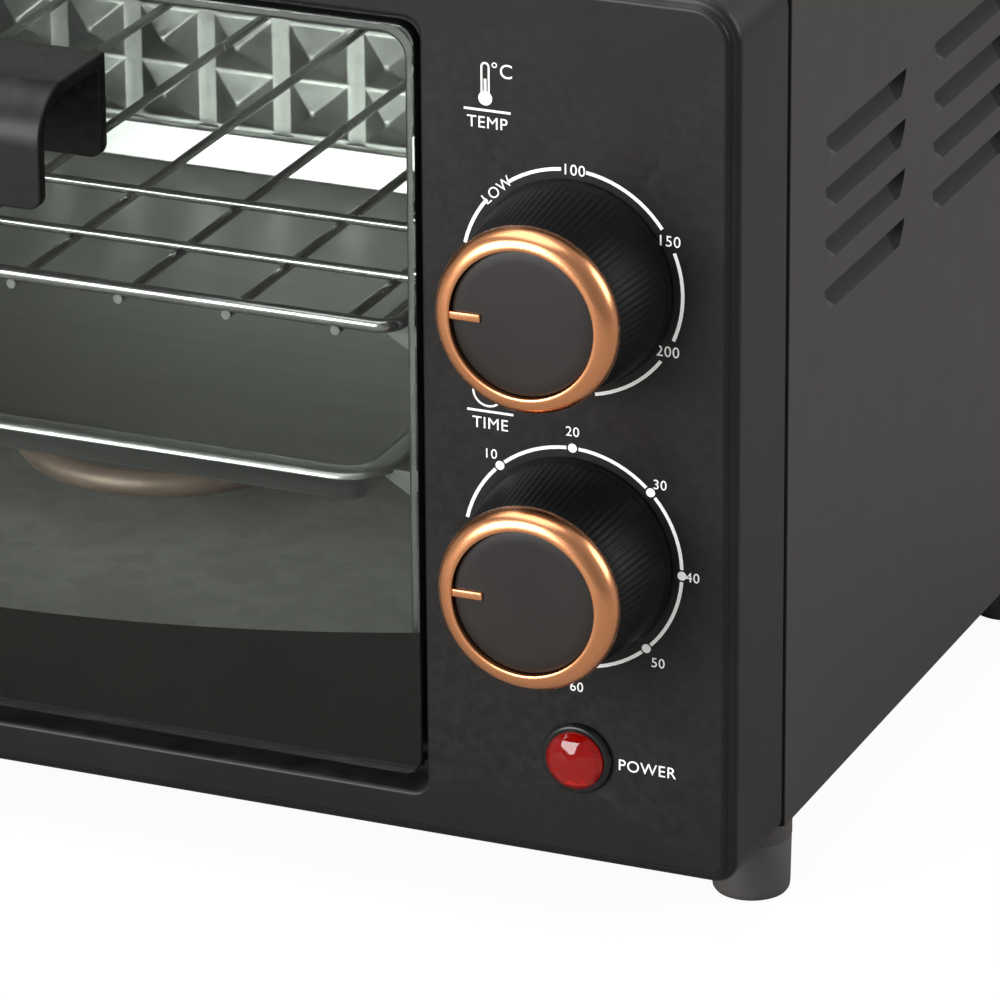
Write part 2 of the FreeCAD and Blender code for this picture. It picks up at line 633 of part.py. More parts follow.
def knob(z):
    """Hollow tapered knob with a hub that grips its shaft."""
    def at(y):
        return (DIAL_X, y, z)
    shell = cone(at(KNOB_BASE_Y), at(KNOB_NOSE_Y), KNOB_BASE_R, KNOB_NOSE_R)
    hollow = cone(at(KNOB_BASE_Y + 0.01), at(KNOB_NOSE_Y + 2.5), KNOB_BASE_R - 2.2, KNOB_NOSE_R - 2.2)
    hub = rod(at(KNOB_BASE_Y - 1.5), at(KNOB_NOSE_Y + 1.0), 5.6)
    return fuse([shell.cut(hollow), hub]).cut(rod(at(KNOB_BASE_Y + 1), at(KNOB_NOSE_Y + 4), SHAFT_R))


def pointer_bar(z, grow):
    """Short bar from the trim ring's left inner edge towards the knob's centre."""
    return block((DIAL_X - TRIM_INNER_R - 1.0, DIAL_X - POINTER_INNER_R + grow),
                 (TRIM_FRONT_Y + 0.6 - grow, KNOB_NOSE_Y - 1.0 + grow),
                 (z - 0.9 - grow, z + 0.9 + grow))


def knob_trim(z):
    """Plated ring round the knob's nose, in one piece with its pointer bar."""
    ring = rod((DIAL_X, KNOB_NOSE_Y, z), (DIAL_X, TRIM_FRONT_Y, z), TRIM_OUTER_R)
    ring = round_edges(ring, TRIM_ROUND, lambda b: b.YMax < TRIM_FRONT_Y + 0.01)
    ring = ring.cut(rod((DIAL_X, KNOB_NOSE_Y + 1, z), (DIAL_X, TRIM_FRONT_Y - 1, z), TRIM_INNER_R))
    return fuse([ring, pointer_bar(z, 0.0)])


def knob_face(z):
    """Dark disc that closes the knob inside the trim ring, slotted for the pointer."""
    front = TRIM_FRONT_Y + 1.0
    disc = rod((DIAL_X, KNOB_NOSE_Y, z), (DIAL_X, front, z), TRIM_INNER_R - 0.05)
    disc = round_edges(disc, 0.6, lambda b: b.YMax < front + 0.01)
    return disc.cut(pointer_bar(z, 0.1))


def control_shaft(z, end):
    """Steel spindle from the control up into the knob's hub."""
    return rod((DIAL_X, KNOB_NOSE_Y + 4, z), (DIAL_X, end, z), SHAFT_R)


def control_holes(z, depth):
    """Bores for the spindle and the two fixing screws in a control's body."""
    front = FRONT_Y + FRAME_SHEET
    holes = [rod((DIAL_X, front - 1, z), (DIAL_X, front + depth, z), SHAFT_R + RUNNING)]
    holes += [rod((x, front - 1, z), (x, front + 7.5, z), 1.55) for x in (DIAL_X - 11.5, DIAL_X + 11.5)]
    return Part.makeCompound(holes)


def terminal_blades(z, y, xs):
    """Push-on blades on the back of a control."""
    return [block((x - 0.4, x + 0.4), (y, y + 7.0), (z - 3.1, z + 3.1)) for x in xs]


THERMOSTAT_BACK = FRONT_Y + 23.0
TIMER_BACK = FRONT_Y + 31.0


def thermostat():
    """Bimetal thermostat behind the upper knob."""
    z = DIALS["temp"]
    body = block((DIAL_X - 15, DIAL_X + 15), (FRONT_Y + FRAME_SHEET + 0.1, THERMOSTAT_BACK),
                 (z - 15, z + 15))
    body = round_edges(body, 2.0, lambda b: b.YLength > 5)
    body = fuse([body] + terminal_blades(z, THERMOSTAT_BACK, (DIAL_X - 8, DIAL_X + 8)))
    return body.cut(control_holes(z, 16.0))


def timer():
    """Clockwork timer and switch behind the lower knob."""
    z = DIALS["time"]
    body = rod((DIAL_X, FRONT_Y + FRAME_SHEET + 0.1, z), (DIAL_X, TIMER_BACK, z), 23.0)
    post = rod((DIAL_X, TIMER_BACK, z), (DIAL_X, TIMER_BACK + 9.0, z), 2.5)
    blades = terminal_blades(z + 18.0, TIMER_BACK, (DIAL_X - 6, DIAL_X + 6))
    return fuse([body, post] + blades).cut(control_holes(z, 16.0))


def timer_bell():
    """Steel bell cup on the timer's post."""
    z = DIALS["time"]

    def at(y):
        return (DIAL_X, TIMER_BACK + y, z)
    cup = cone(at(3.0), at(9.0), 14.0, 9.0)
    cup = cup.cut(cone(at(2.9), at(8.0), 13.0, 8.2))
    return cup.cut(rod(at(0.0), at(12.0), 2.52))


def control_screws():
    """Small pan-head screws hidden under the knobs."""
    screws = []
    for x, z in control_screw_places():
        head = rod((x, FRONT_Y, z), (x, FRONT_Y - 0.9, z), 2.8)
        screws.append(fuse([head, rod((x, FRONT_Y - 0.5, z), (x, FRONT_Y + 8.0, z), 1.5)]))
    return Part.makeCompound(screws)


def lamp_sleeve():
    """Black bezel and sleeve that hold the indicator lens in the panel."""
    def at(y):
        return (LAMP_X, FRONT_Y + y, LAMP_Z)
    collar = cone(at(0.0), at(-1.6), LAMP_R + 1.6, LAMP_R + 0.9)
    sleeve = rod(at(-0.5), at(15.0), LAMP_R - 0.45)
    return fuse([collar, sleeve]).cut(rod(at(-3.0), at(17.0), LAMP_R - 1.4))


def lamp_lens():
    """Red gem-cut lens with a plain stem down into the sleeve."""
    def at(y):
        return (LAMP_X, FRONT_Y + y, LAMP_Z)
    girdle = rod(at(-1.6), at(-2.8), LAMP_R)
    crown = cone(at(-2.8), at(-5.0), LAMP_R, LAMP_R - 2.4)
    return fuse([girdle, crown, rod(at(-2.0), at(4.0), LAMP_R - 1.45)])


def lamp_bulb():
    """Small glass neon lamp behind the lens."""
    stem = rod((LAMP_X, FRONT_Y + 5.0, LAMP_Z), (LAMP_X, FRONT_Y + 17.0, LAMP_Z), 2.6)
    return round_edges(stem, 2.0, lambda b: b.YMax < FRONT_Y + 5.01)


def wiring():
    """Insulated leads between the timer, the thermostat, the heaters and the lamp."""
    time_z = DIALS["time"] + 18.0
    temp_z = DIALS["temp"]
    timer_end = TIMER_BACK + 7.0
    thermostat_end = THERMOSTAT_BACK + 7.0
    tab_y = CAVITY_BACK + 20.0
    right_leg = HEATER_X + HEATER_BEND
    lamp_y = FRONT_Y + 17.0
    upper, lower = HEATER_LEVELS["upper"], HEATER_LEVELS["lower"]
    lanes = (
        [(DIAL_X + 6, timer_end, time_z), (DIAL_X + 6, -40, time_z),
         (DIAL_X + 8, -40, temp_z), (DIAL_X + 8, thermostat_end, temp_z)],
        [(DIAL_X - 8, thermostat_end, temp_z), (DIAL_X - 8, -25, temp_z), (DIAL_X - 8, -25, 205),
         (110, 116, 205), (110, 124, upper), (right_leg + 3, 124, upper)],
        [(right_leg, tab_y, upper - 1.8), (right_leg, tab_y, lower + 1.8)],
        [(LAMP_X + 1.3, lamp_y, LAMP_Z), (LAMP_X + 1.3, -60, LAMP_Z), (LAMP_X + 22, -60, time_z),
         (DIAL_X + 22, -30, time_z)],
    )
    return Part.makeCompound([insulated_lead(points, 1.2, 5.0) for points in lanes])


def build():
    """Fill PARTS with every node."""
    PARTS["front_frame"] = front_frame()
    PARTS["cover"] = cover()
    PARTS["rear_panel"] = rear_panel()
    PARTS["bottom_plate"] = bottom_plate()
    for name, (x, y) in foot_places().items():
        PARTS[f"foot_{name}"] = foot(x, y)
    PARTS["foot_screws"] = foot_screws()
    PARTS["rear_screws"] = rear_screws()
    PARTS["cord_gland"] = cord_gland()
    PARTS["cavity_mouth"] = cavity_mouth()
    PARTS["cavity_wall_left"] = cavity_wall(-1)
    PARTS["cavity_wall_right"] = cavity_wall(1)
    PARTS["cavity_roof"] = cavity_plate((CAVITY_ROOF, CAVITY_ROOF + CAVITY_SHEET))
    PARTS["cavity_floor"] = cavity_plate((CAVITY_FLOOR - CAVITY_SHEET, CAVITY_FLOOR))
    PARTS["cavity_back"] = cavity_back()
    for level, z in HEATER_LEVELS.items():
        PARTS[f"{level}_heater"] = heater(z)
    PARTS["heater_bushes"] = heater_bushes()
    PARTS["heater_tabs"] = heater_tabs()
    PARTS["wire_rack"] = wire_rack()
    PARTS["baking_tray"] = baking_tray()
    PARTS["door_glass"] = door_glass()
    PARTS["handle"] = handle()
    PARTS["handle_screws"] = handle_screws()
    PARTS["handle_washers"] = handle_washers()
    PARTS["hinge_bar"] = hinge_bar()
    PARTS["hinge_pin_left"] = hinge_pin(-1)
    PARTS["hinge_pin_right"] = hinge_pin(1)
    for dial, z in DIALS.items():
        PARTS[f"{dial}_knob"] = knob(z)
        PARTS[f"{dial}_knob_trim"] = knob_trim(z)
        PARTS[f"{dial}_knob_face"] = knob_face(z)
        PARTS[f"{dial}_shaft"] = control_shaft(z, FRONT_Y + FRAME_SHEET + 15.0)
    PARTS["thermostat"] = thermostat()
    PARTS["timer"] = timer()
    PARTS["timer_bell"] = timer_bell()
    PARTS["control_screws"] = control_screws()
    PARTS["lamp_sleeve"] = lamp_sleeve()
    PARTS["lamp_lens"] = lamp_lens()
    PARTS["lamp_bulb"] = lamp_bulb()
    PARTS["wiring"] = wiring()


def write():
    """Write one STEP file per node and print its size."""
    os.makedirs("parts", exist_ok=True)
    for name, shape in PARTS.items():
        shape.exportStep(f"parts/{name}.step")
        box = shape.BoundBox
        print(f"{name:20s} solids {len(shape.Solids)} valid {shape.isValid()} volume {shape.Volume:10.1f}"
              f"  y {box.YMin:7.1f} {box.YMax:7.1f}")


build()
write()
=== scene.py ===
"""Looks of a two-knob toaster oven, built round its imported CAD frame.

Meshes are drawn in millimetres in the part's own frame (+X the user's right, -Y towards the user,
+Z up) and scaled to metres as each piece is finished.
"""
import enum
import logging
import math
from dataclasses import dataclass, field
from typing import Iterable, Sequence

import bmesh
import bpy
from mathutils import Matrix, Vector


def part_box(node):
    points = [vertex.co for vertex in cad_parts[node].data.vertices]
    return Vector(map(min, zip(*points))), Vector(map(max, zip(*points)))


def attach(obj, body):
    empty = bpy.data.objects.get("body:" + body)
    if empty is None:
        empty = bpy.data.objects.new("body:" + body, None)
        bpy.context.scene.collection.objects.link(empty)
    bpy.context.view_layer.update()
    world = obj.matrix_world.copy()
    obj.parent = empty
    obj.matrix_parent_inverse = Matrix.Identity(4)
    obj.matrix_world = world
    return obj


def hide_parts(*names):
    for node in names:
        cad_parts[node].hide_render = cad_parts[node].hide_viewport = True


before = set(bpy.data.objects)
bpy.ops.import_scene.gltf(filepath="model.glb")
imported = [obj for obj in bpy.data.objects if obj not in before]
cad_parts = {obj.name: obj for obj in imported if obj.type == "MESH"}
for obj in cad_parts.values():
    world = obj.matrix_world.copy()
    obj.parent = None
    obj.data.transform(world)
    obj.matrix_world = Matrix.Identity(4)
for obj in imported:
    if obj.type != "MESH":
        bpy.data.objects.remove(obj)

LOG = logging.getLogger("toaster_oven")
MM = 0.001
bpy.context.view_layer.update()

MOUTH_HALF = 117.1
MOUTH_SPAN = (36.0, 192.7)
SCREW_HEAD = 3.6

BMesh = bmesh.types.BMesh
Profile = Sequence[tuple[float, float]]


class Axis(enum.Enum):
    """Direction of a lay, a spin or an extrusion."""

    X = (1.0, 0.0, 0.0)
    Y = (0.0, 1.0, 0.0)
    Z = (0.0, 0.0, 1.0)


class Lay(enum.Enum):
    """Surface pattern of a finish."""

    GRAIN = "grain"
    BRUSHED = "brushed"
    SPUN = "spun"
    SPANGLE = "spangle"


@dataclass(frozen=True)
class Box:
    """Span of one or more CAD nodes, in millimetres."""

    low: Vector
    high: Vector

    @classmethod
    def of(cls, *nodes: str) -> "Box":
        """Measure CAD nodes at rest.

        Args:
            nodes: Names of the nodes that the box holds.

        Returns:
            The smallest box round them.
        """
        corners = [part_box(node) for node in nodes]
        low = Vector([min(pair[0][k] for pair in corners) / MM for k in range(3)])
        high = Vector([max(pair[1][k] for pair in corners) / MM for k in range(3)])
        return cls(low, high)

    @property
    def centre(self) -> Vector:
        """Middle of the box."""
        return (self.low + self.high) / 2

    @property
    def size(self) -> Vector:
        """Width, depth and height."""
        return self.high - self.low


# Shader effects ---------------------------------------------------------------------------


class Graph:
    """Short hand for wiring one node tree."""

    def __init__(self, tree: bpy.types.NodeTree) -> None:
        """Keep the tree."""
        self.tree = tree

    def node(self, kind: str, inputs: dict | None = None, **settings: object) -> bpy.types.Node:
        """Add a node.

        Args:
            kind: Node class, without its ShaderNode prefix.
            inputs: Socket name or number to a value, or to the socket that feeds it.
            settings: Attributes of the node.

        Returns:
            The new node.
        """
        prefix = "" if kind.startswith("Node") else "ShaderNode"
        made = self.tree.nodes.new(prefix + kind)
        for name, value in settings.items():
            setattr(made, name, value)
        for name, value in (inputs or {}).items():
            if isinstance(value, bpy.types.NodeSocket):
                self.tree.links.new(value, made.inputs[name])
            else:
                made.inputs[name].default_value = value
        return made

    def math(self, operation: str, first: object, second: object = 0.0) -> bpy.types.NodeSocket:
        """Combine two values.

        Args:
            operation: Name of the Math node's operation.
            first: Value or socket.
            second: Value or socket.

        Returns:
            The result's socket.
        """
        return self.node("Math", {0: first, 1: second}, operation=operation).outputs[0]

    def group(self, shared: bpy.types.NodeTree, inputs: dict) -> bpy.types.Node:
        """Place a shared effect and feed its inputs."""
        return self.node("Group", inputs, node_tree=shared)


def blank_material(name: str) -> tuple[bpy.types.Material, Graph]:
    """New material with an empty node tree.

    Args:
        name: The material's name.

    Returns:
        The material and its tree's graph.
    """
    made = bpy.data.materials.new(name)
    made.use_nodes = True
    made.node_tree.nodes.clear()
    return made, Graph(made.node_tree)


def effect_group(name: str, inputs: Sequence[tuple[str, str, object]],
                 outputs: Sequence[str]) -> tuple[Graph, bpy.types.Node, bpy.types.Node]:
    """Start a node group of one shared effect.

    Args:
        name: Name of the group.
        inputs: Name, socket type and default of each input.
        outputs: Names of the value outputs.

    Returns:
        The group's graph, its input node and its output node.
    """
    tree = bpy.data.node_groups.new(name, "ShaderNodeTree")
    for label, kind, default in inputs:
        socket = tree.interface.new_socket(name=label, in_out="INPUT", socket_type=kind)
        if default is not None:
            socket.default_value = default
    for label in outputs:
        tree.interface.new_socket(name=label, in_out="OUTPUT", socket_type="NodeSocketFloat")
    graph = Graph(tree)
    return graph, graph.node("NodeGroupInput"), graph.node("NodeGroupOutput")


VECTOR = "NodeSocketVector"
VALUE = "NodeSocketFloat"


def make_grain_group() -> bpy.types.NodeTree:
    """Fine grain with a slow drift: Mask drifts over centimetres, Height is the grain.

    Returns:
        The node group.
    """
    graph, source, sink = effect_group(
        "grain", [("Place", VECTOR, None), ("Scale", VALUE, 2500.0)], ["Mask", "Height"])
    fine = graph.node("TexNoise", {"Vector": source.outputs["Place"], "Scale": source.outputs["Scale"],
                                   "Detail": 3.0, "Roughness": 0.6})
    slow = graph.node("TexNoise", {"Vector": source.outputs["Place"], "Scale": 55.0, "Detail": 4.0,
                                   "Roughness": 0.55})
    total = graph.math("ADD", graph.math("MULTIPLY", fine.outputs["Fac"], 0.25),
                       graph.math("MULTIPLY", slow.outputs["Fac"], 0.75))
    graph.tree.links.new(total, sink.inputs["Mask"])
    graph.tree.links.new(fine.outputs["Fac"], sink.inputs["Height"])
    return graph.tree


def make_brushed_group() -> bpy.types.NodeTree:
    """Lines drawn along one direction, with a few longer scratches.

    Returns:
        The node group.
    """
    graph, source, sink = effect_group(
        "brushed", [("Place", VECTOR, None), ("Stretch", VECTOR, (1.0, 1.0, 1.0)),
                    ("Scale", VALUE, 900.0)], ["Mask", "Height"])
    along = graph.node("VectorMath", {0: source.outputs["Place"], 1: source.outputs["Stretch"]},
                       operation="MULTIPLY")
    fine = graph.node("TexNoise", {"Vector": along.outputs[0], "Scale": source.outputs["Scale"],
                                   "Detail": 4.0, "Roughness": 0.65})
    broad = graph.node("TexNoise", {"Vector": along.outputs[0], "Scale": 160.0, "Detail": 2.0})
    total = graph.math("ADD", graph.math("MULTIPLY", fine.outputs["Fac"], 0.5),
                       graph.math("MULTIPLY", broad.outputs["Fac"], 0.5))
    graph.tree.links.new(total, sink.inputs["Mask"])
    graph.tree.links.new(fine.outputs["Fac"], sink.inputs["Height"])
    return graph.tree


def make_spun_group() -> bpy.types.NodeTree:
    """Turning lines round an axis parallel to Y.

    Returns:
        The node group.
    """
    graph, source, sink = effect_group(
        "spun", [("Place", VECTOR, None), ("Scale", VALUE, 2600.0)], ["Mask", "Height"])
    flat = graph.node("VectorMath", {0: source.outputs["Place"], 1: (1.0, 0.0, 1.0)}, operation="MULTIPLY")
    reach = graph.node("VectorMath", {0: flat.outputs[0]}, operation="LENGTH")
    split = graph.node("SeparateXYZ", {0: source.outputs["Place"]})
    place = graph.node("CombineXYZ", {0: reach.outputs["Value"], 1: split.outputs[1]})
    lines = graph.node("TexNoise", {"Vector": place.outputs[0], "Scale": source.outputs["Scale"],
                                    "Detail": 2.0})
    graph.tree.links.new(lines.outputs["Fac"], sink.inputs["Height"])
    graph.tree.links.new(lines.outputs["Fac"], sink.inputs["Mask"])
    return graph.tree


def make_spangle_group() -> bpy.types.NodeTree:
    """Crystal patches of hot-dipped zinc.

    Returns:
        The node group.
    """
    graph, source, sink = effect_group(
        "spangle", [("Place", VECTOR, None), ("Scale", VALUE, 220.0)], ["Mask", "Height"])
    warp = graph.node("TexNoise", {"Vector": source.outputs["Place"], "Scale": 90.0, "Detail": 3.0})
    push = graph.node("VectorMath", {0: warp.outputs["Color"], 1: (0.004, 0.004, 0.004)},
                      operation="MULTIPLY")
    place = graph.node("VectorMath", {0: source.outputs["Place"], 1: push.outputs[0]}, operation="ADD")
    cells = graph.node("TexVoronoi", {"Vector": place.outputs[0], "Scale": source.outputs["Scale"]})
    tone = graph.node("SeparateColor", {0: cells.outputs["Color"]})
    fine = graph.node("TexNoise", {"Vector": source.outputs["Place"], "Scale": 1600.0, "Detail": 3.0})
    total = graph.math("ADD", graph.math("MULTIPLY", tone.outputs[0], 0.55),
                       graph.math("MULTIPLY", fine.outputs["Fac"], 0.45))
    graph.tree.links.new(total, sink.inputs["Mask"])
    graph.tree.links.new(fine.outputs["Fac"], sink.inputs["Height"])
    return graph.tree


def make_edge_group() -> bpy.types.NodeTree:
    """Worn convex edges, broken up by noise.

    Returns:
        The node group.
    """
    graph, source, sink = effect_group(
        "edge_wear", [("Place", VECTOR, None), ("Amount", VALUE, 0.3)], ["Mask"])
    point = graph.node("NewGeometry").outputs["Pointiness"]
    sharp = graph.node("MapRange", {"Value": point, "From Min": 0.52, "From Max": 0.62})
    chips = graph.node("TexNoise", {"Vector": source.outputs["Place"], "Scale": 480.0, "Detail": 4.0})
    broken = graph.node("MapRange", {"Value": chips.outputs["Fac"], "From Min": 0.42, "From Max": 0.62})
    worn = graph.math("MULTIPLY", sharp.outputs[0], broken.outputs[0])
    scaled = graph.math("MULTIPLY", worn, source.outputs["Amount"])
    graph.tree.links.new(scaled, sink.inputs["Mask"])
    return graph.tree


def make_dust_group() -> bpy.types.NodeTree:
    """Light dust that settles on faces that look up.

    Returns:
        The node group.
    """
    graph, source, sink = effect_group(
        "dust", [("Place", VECTOR, None), ("Amount", VALUE, 0.1)], ["Mask"])
    up = graph.node("SeparateXYZ", {0: graph.node("NewGeometry").outputs["Normal"]})
    level = graph.node("MapRange", {"Value": up.outputs[2], "From Min": 0.35, "From Max": 1.0})
    drift = graph.node("TexNoise", {"Vector": source.outputs["Place"], "Scale": 140.0, "Detail": 5.0})
    patchy = graph.node("MapRange", {"Value": drift.outputs["Fac"], "From Min": 0.35, "From Max": 0.75})
    settled = graph.math("MULTIPLY", level.outputs[0], patchy.outputs[0])
    scaled = graph.math("MULTIPLY", settled, source.outputs["Amount"])
    graph.tree.links.new(scaled, sink.inputs["Mask"])
    return graph.tree


class Effects:
    """Shader node groups that the finishes share, each built once."""

    def __init__(self) -> None:
        """Build every group."""
        self.lays = {Lay.GRAIN: make_grain_group(), Lay.BRUSHED: make_brushed_group(),
                     Lay.SPUN: make_spun_group(), Lay.SPANGLE: make_spangle_group()}
        self.edge = make_edge_group()
        self.dust = make_dust_group()


# Finishes ---------------------------------------------------------------------------------

Colour = tuple[float, float, float]


@dataclass(frozen=True)
class Finish:
    """One opaque surface finish and how it varies."""

    name: str
    slot: str
    colour: Colour
    second: Colour
    roughness: float
    spread: float = 0.1
    metallic: float = 0.0
    lay: Lay = Lay.GRAIN
    scale: float = 2500.0
    stretch: Colour = (1.0, 1.0, 1.0)
    bump: float = 0.1
    relief: float = 0.00005
    specular: float = 0.5
    coat: float = 0.0
    edge: float = 0.0
    edge_colour: Colour = (0.3, 0.3, 0.3)
    dust: float = 0.0
    centre: Colour = (0.0, 0.0, 0.0)
    anisotropy: float = 0.0
    glow: float = 0.0

    def material(self, effects: Effects) -> bpy.types.Material:
        """Build the material, or give the one already built.

        Args:
            effects: The shared node groups.

        Returns:
            The material.
        """
        found = bpy.data.materials.get(self.name)
        if found:
            return found
        made, graph = blank_material(self.name)
        coords = graph.node("TexCoord").outputs["Object"]
        place = graph.node("Mapping", {"Vector": coords, "Location": tuple(-c for c in self.centre)})
        inputs = {"Place": place.outputs[0], "Scale": self.scale}
        if self.lay is Lay.BRUSHED:
            inputs["Stretch"] = self.stretch
        pattern = graph.group(effects.lays[self.lay], inputs)
        mask = pattern.outputs["Mask"]
        spread = graph.node("MapRange", {"Value": mask, "From Min": 0.3, "From Max": 0.7})
        base = graph.node("Mix", {0: spread.outputs[0], 6: (*self.colour, 1.0), 7: (*self.second, 1.0)},
                          data_type="RGBA").outputs[2]
        rough = graph.node("MapRange", {"Value": mask, "From Min": 0.25, "From Max": 0.75,
                                        "To Min": max(self.roughness - self.spread, 0.02),
                                        "To Max": min(self.roughness + self.spread, 1.0)}).outputs[0]
        if self.edge:
            worn = graph.group(effects.edge, {"Place": place.outputs[0], "Amount": self.edge}).outputs[0]
            base = graph.node("Mix", {0: worn, 6: base, 7: (*self.edge_colour, 1.0)},
                              data_type="RGBA").outputs[2]
        if self.dust:
            settled = graph.group(effects.dust, {"Place": place.outputs[0], "Amount": self.dust}).outputs[0]
            base = graph.node("Mix", {0: settled, 6: base, 7: (0.42, 0.40, 0.37, 1.0)},
                              data_type="RGBA").outputs[2]
            rough = graph.math("ADD", rough, graph.math("MULTIPLY", settled, 0.6))
        relief = graph.node("Bump", {"Strength": self.bump, "Distance": self.relief,
                                     "Height": pattern.outputs["Height"]})
        shader = graph.node("BsdfPrincipled", {
            "Base Color": base, "Roughness": rough, "Metallic": self.metallic,
            "Specular IOR Level": self.specular, "Coat Weight": self.coat, "Coat Roughness": 0.08,
            "Anisotropic": self.anisotropy, "Normal": relief.outputs[0],
            "Emission Color": (1.0, 1.0, 0.99, 1.0), "Emission Strength": self.glow})
        graph.node("OutputMaterial", {"Surface": shader.outputs[0]})
        return made


@dataclass(frozen=True)
class ClearFinish:
    """Clear glass or plastic that lets light through to what is behind it."""

    name: str
    slot: str
    colour: Colour
    roughness: float = 0.02
    ior: float = 1.45
    spread: float = 0.01
    glow: float = 0.0
    shadow: Colour = (0.9, 0.9, 0.9)
    passes: float = 1.0

    def material(self, effects: Effects) -> bpy.types.Material:
        """Build the material, or give the one already built.

        Args:
            effects: The shared node groups.

        Returns:
            The material.
        """
        found = bpy.data.materials.get(self.name)
        if found:
            return found
        made, graph = blank_material(self.name)
        coords = graph.node("TexCoord").outputs["Object"]
        pattern = graph.group(effects.lays[Lay.GRAIN], {"Place": coords, "Scale": 700.0})
        rough = graph.node("MapRange", {"Value": pattern.outputs["Mask"], "From Min": 0.45,
                                        "From Max": 0.75, "To Min": self.roughness,
                                        "To Max": self.roughness + self.spread}).outputs[0]
        shader = graph.node("BsdfPrincipled", {
            "Base Color": (*self.colour, 1.0), "Roughness": rough, "IOR": self.ior,
            "Transmission Weight": self.passes, "Emission Color": (*self.colour, 1.0),
            "Emission Strength": self.glow})
        clear = graph.node("BsdfTransparent", {"Color": (*self.shadow, 1.0)})
        path = graph.node("LightPath").outputs["Is Shadow Ray"]
        mixed = graph.node("MixShader", {0: path, 1: shader.outputs[0], 2: clear.outputs[0]})
        graph.node("OutputMaterial", {"Surface": mixed.outputs[0]})
        return made


ENAMEL = Finish("satin_black_enamel", "enamel_black", (0.0070, 0.0066, 0.0064), (0.0095, 0.0091, 0.0089),
                0.38, 0.05, specular=0.28, scale=1500.0, bump=0.05, edge=0.35,
                edge_colour=(0.05, 0.05, 0.05), dust=0.05)
COVER_PAINT = Finish("matt_black_cover_paint", "cover_black", (0.026, 0.0235, 0.0222),
                     (0.034, 0.031, 0.0292), 0.46, 0.08, specular=0.5, scale=1900.0, bump=0.22,
                     edge=0.3, edge_colour=(0.06, 0.06, 0.058), dust=0.05)
GALVANISED = Finish("galvanised_sheet", "galvanised", (0.40, 0.405, 0.38), (0.45, 0.455, 0.43), 0.40, 0.05,
                    metallic=1.0, lay=Lay.SPANGLE, scale=260.0, bump=0.06, edge=0.25,
                    edge_colour=(0.7, 0.7, 0.68))
DULL_ZINC = Finish("dull_zinc_ring", "galvanised", (0.12, 0.121, 0.116), (0.16, 0.161, 0.155), 0.45, 0.05,
                   metallic=1.0, lay=Lay.BRUSHED, scale=420.0, stretch=(0.1, 1.0, 1.0), bump=0.06)
WALL_ZINC = Finish("cavity_side_zinc", "galvanised", (0.15, 0.151, 0.145), (0.19, 0.191, 0.184), 0.48, 0.05,
                   metallic=1.0, lay=Lay.SPANGLE, scale=260.0, bump=0.06)
FLOOR_ZINC = Finish("cavity_floor_zinc", "galvanised", (0.20, 0.20, 0.182), (0.25, 0.25, 0.23), 0.55, 0.05,
                    metallic=0.35, lay=Lay.SPANGLE, scale=200.0, bump=0.04)
UNDERSIDE = Finish("underside_plate", "galvanised", (0.05, 0.05, 0.048), (0.07, 0.07, 0.067), 0.6, 0.06,
                   metallic=0.4, lay=Lay.SPANGLE, scale=260.0, bump=0.06)
CHROME = Finish("chromed_wire", "chrome_wire", (0.34, 0.34, 0.33), (0.44, 0.44, 0.43), 0.24, 0.05,
                metallic=1.0, scale=900.0, bump=0.06)
TRAY = Finish("drawn_tray_steel", "tray_steel", (0.44, 0.44, 0.425), (0.56, 0.56, 0.54), 0.36, 0.1,
              metallic=1.0, lay=Lay.BRUSHED, scale=520.0, stretch=(0.05, 1.0, 1.0), bump=0.16,
              edge=0.2, edge_colour=(0.75, 0.75, 0.73))
SHEATH = Finish("heat_tinted_sheath", "heater_sheath", (0.19, 0.135, 0.105), (0.27, 0.195, 0.155), 0.5, 0.1,
                metallic=0.55, scale=700.0, bump=0.25)
CERAMIC = Finish("bush_ceramic", "ceramic", (0.72, 0.69, 0.62), (0.80, 0.77, 0.71), 0.7, 0.1, bump=0.2)
STEEL = Finish("zinc_plated_steel", "steel", (0.46, 0.45, 0.42), (0.60, 0.58, 0.54), 0.32, 0.1,
               metallic=1.0, scale=1300.0, bump=0.1, edge=0.3, edge_colour=(0.8, 0.8, 0.78))
# Painted shade: the louvre flaps are the cover's own sheet, given a darker, duller paint that stands in for
# their shading.
FLAP_SHADE_PAINT = Finish("louvre_painted_shade", "cover_black", (0.0085, 0.0076, 0.0070), (0.012, 0.0108, 0.010),
                    0.55, 0.06, specular=0.25, scale=1900.0, bump=0.18)
# Painted shade: near-black paint on the cover's rolled front edge, darkening the seam groove behind the
# frame, and on the rear ends of the louvre pockets.
SHADE_BLACK_PAINT = Finish("seam_and_pocket_painted_shade", "cover_black", (0.0035, 0.0034, 0.0033), (0.005, 0.0049, 0.0048),
                      0.6, 0.06, specular=0.15, scale=1900.0, bump=0.1)
HANDLE_PLASTIC = Finish("satin_handle_plastic", "handle_black", (0.0052, 0.0050, 0.0049),
                        (0.0078, 0.0075, 0.0073), 0.40, 0.06, specular=0.24, scale=2600.0, bump=0.12,
                        edge=0.25, edge_colour=(0.08, 0.08, 0.078), dust=0.05)
KNOB_PLASTIC = Finish("ribbed_knob_plastic", "knob_black", (0.0042, 0.0042, 0.0042),
                      (0.0065, 0.0065, 0.0065), 0.47, 0.07, specular=0.15, scale=2600.0, bump=0.14,
                      edge=0.15, edge_colour=(0.05, 0.05, 0.05))
FACE_PLASTIC = Finish("knob_cap_plastic", "face_black", (0.0125, 0.0105, 0.0095), (0.0165, 0.014, 0.0128),
                      0.44, 0.05, specular=0.34, scale=2400.0, bump=0.1)
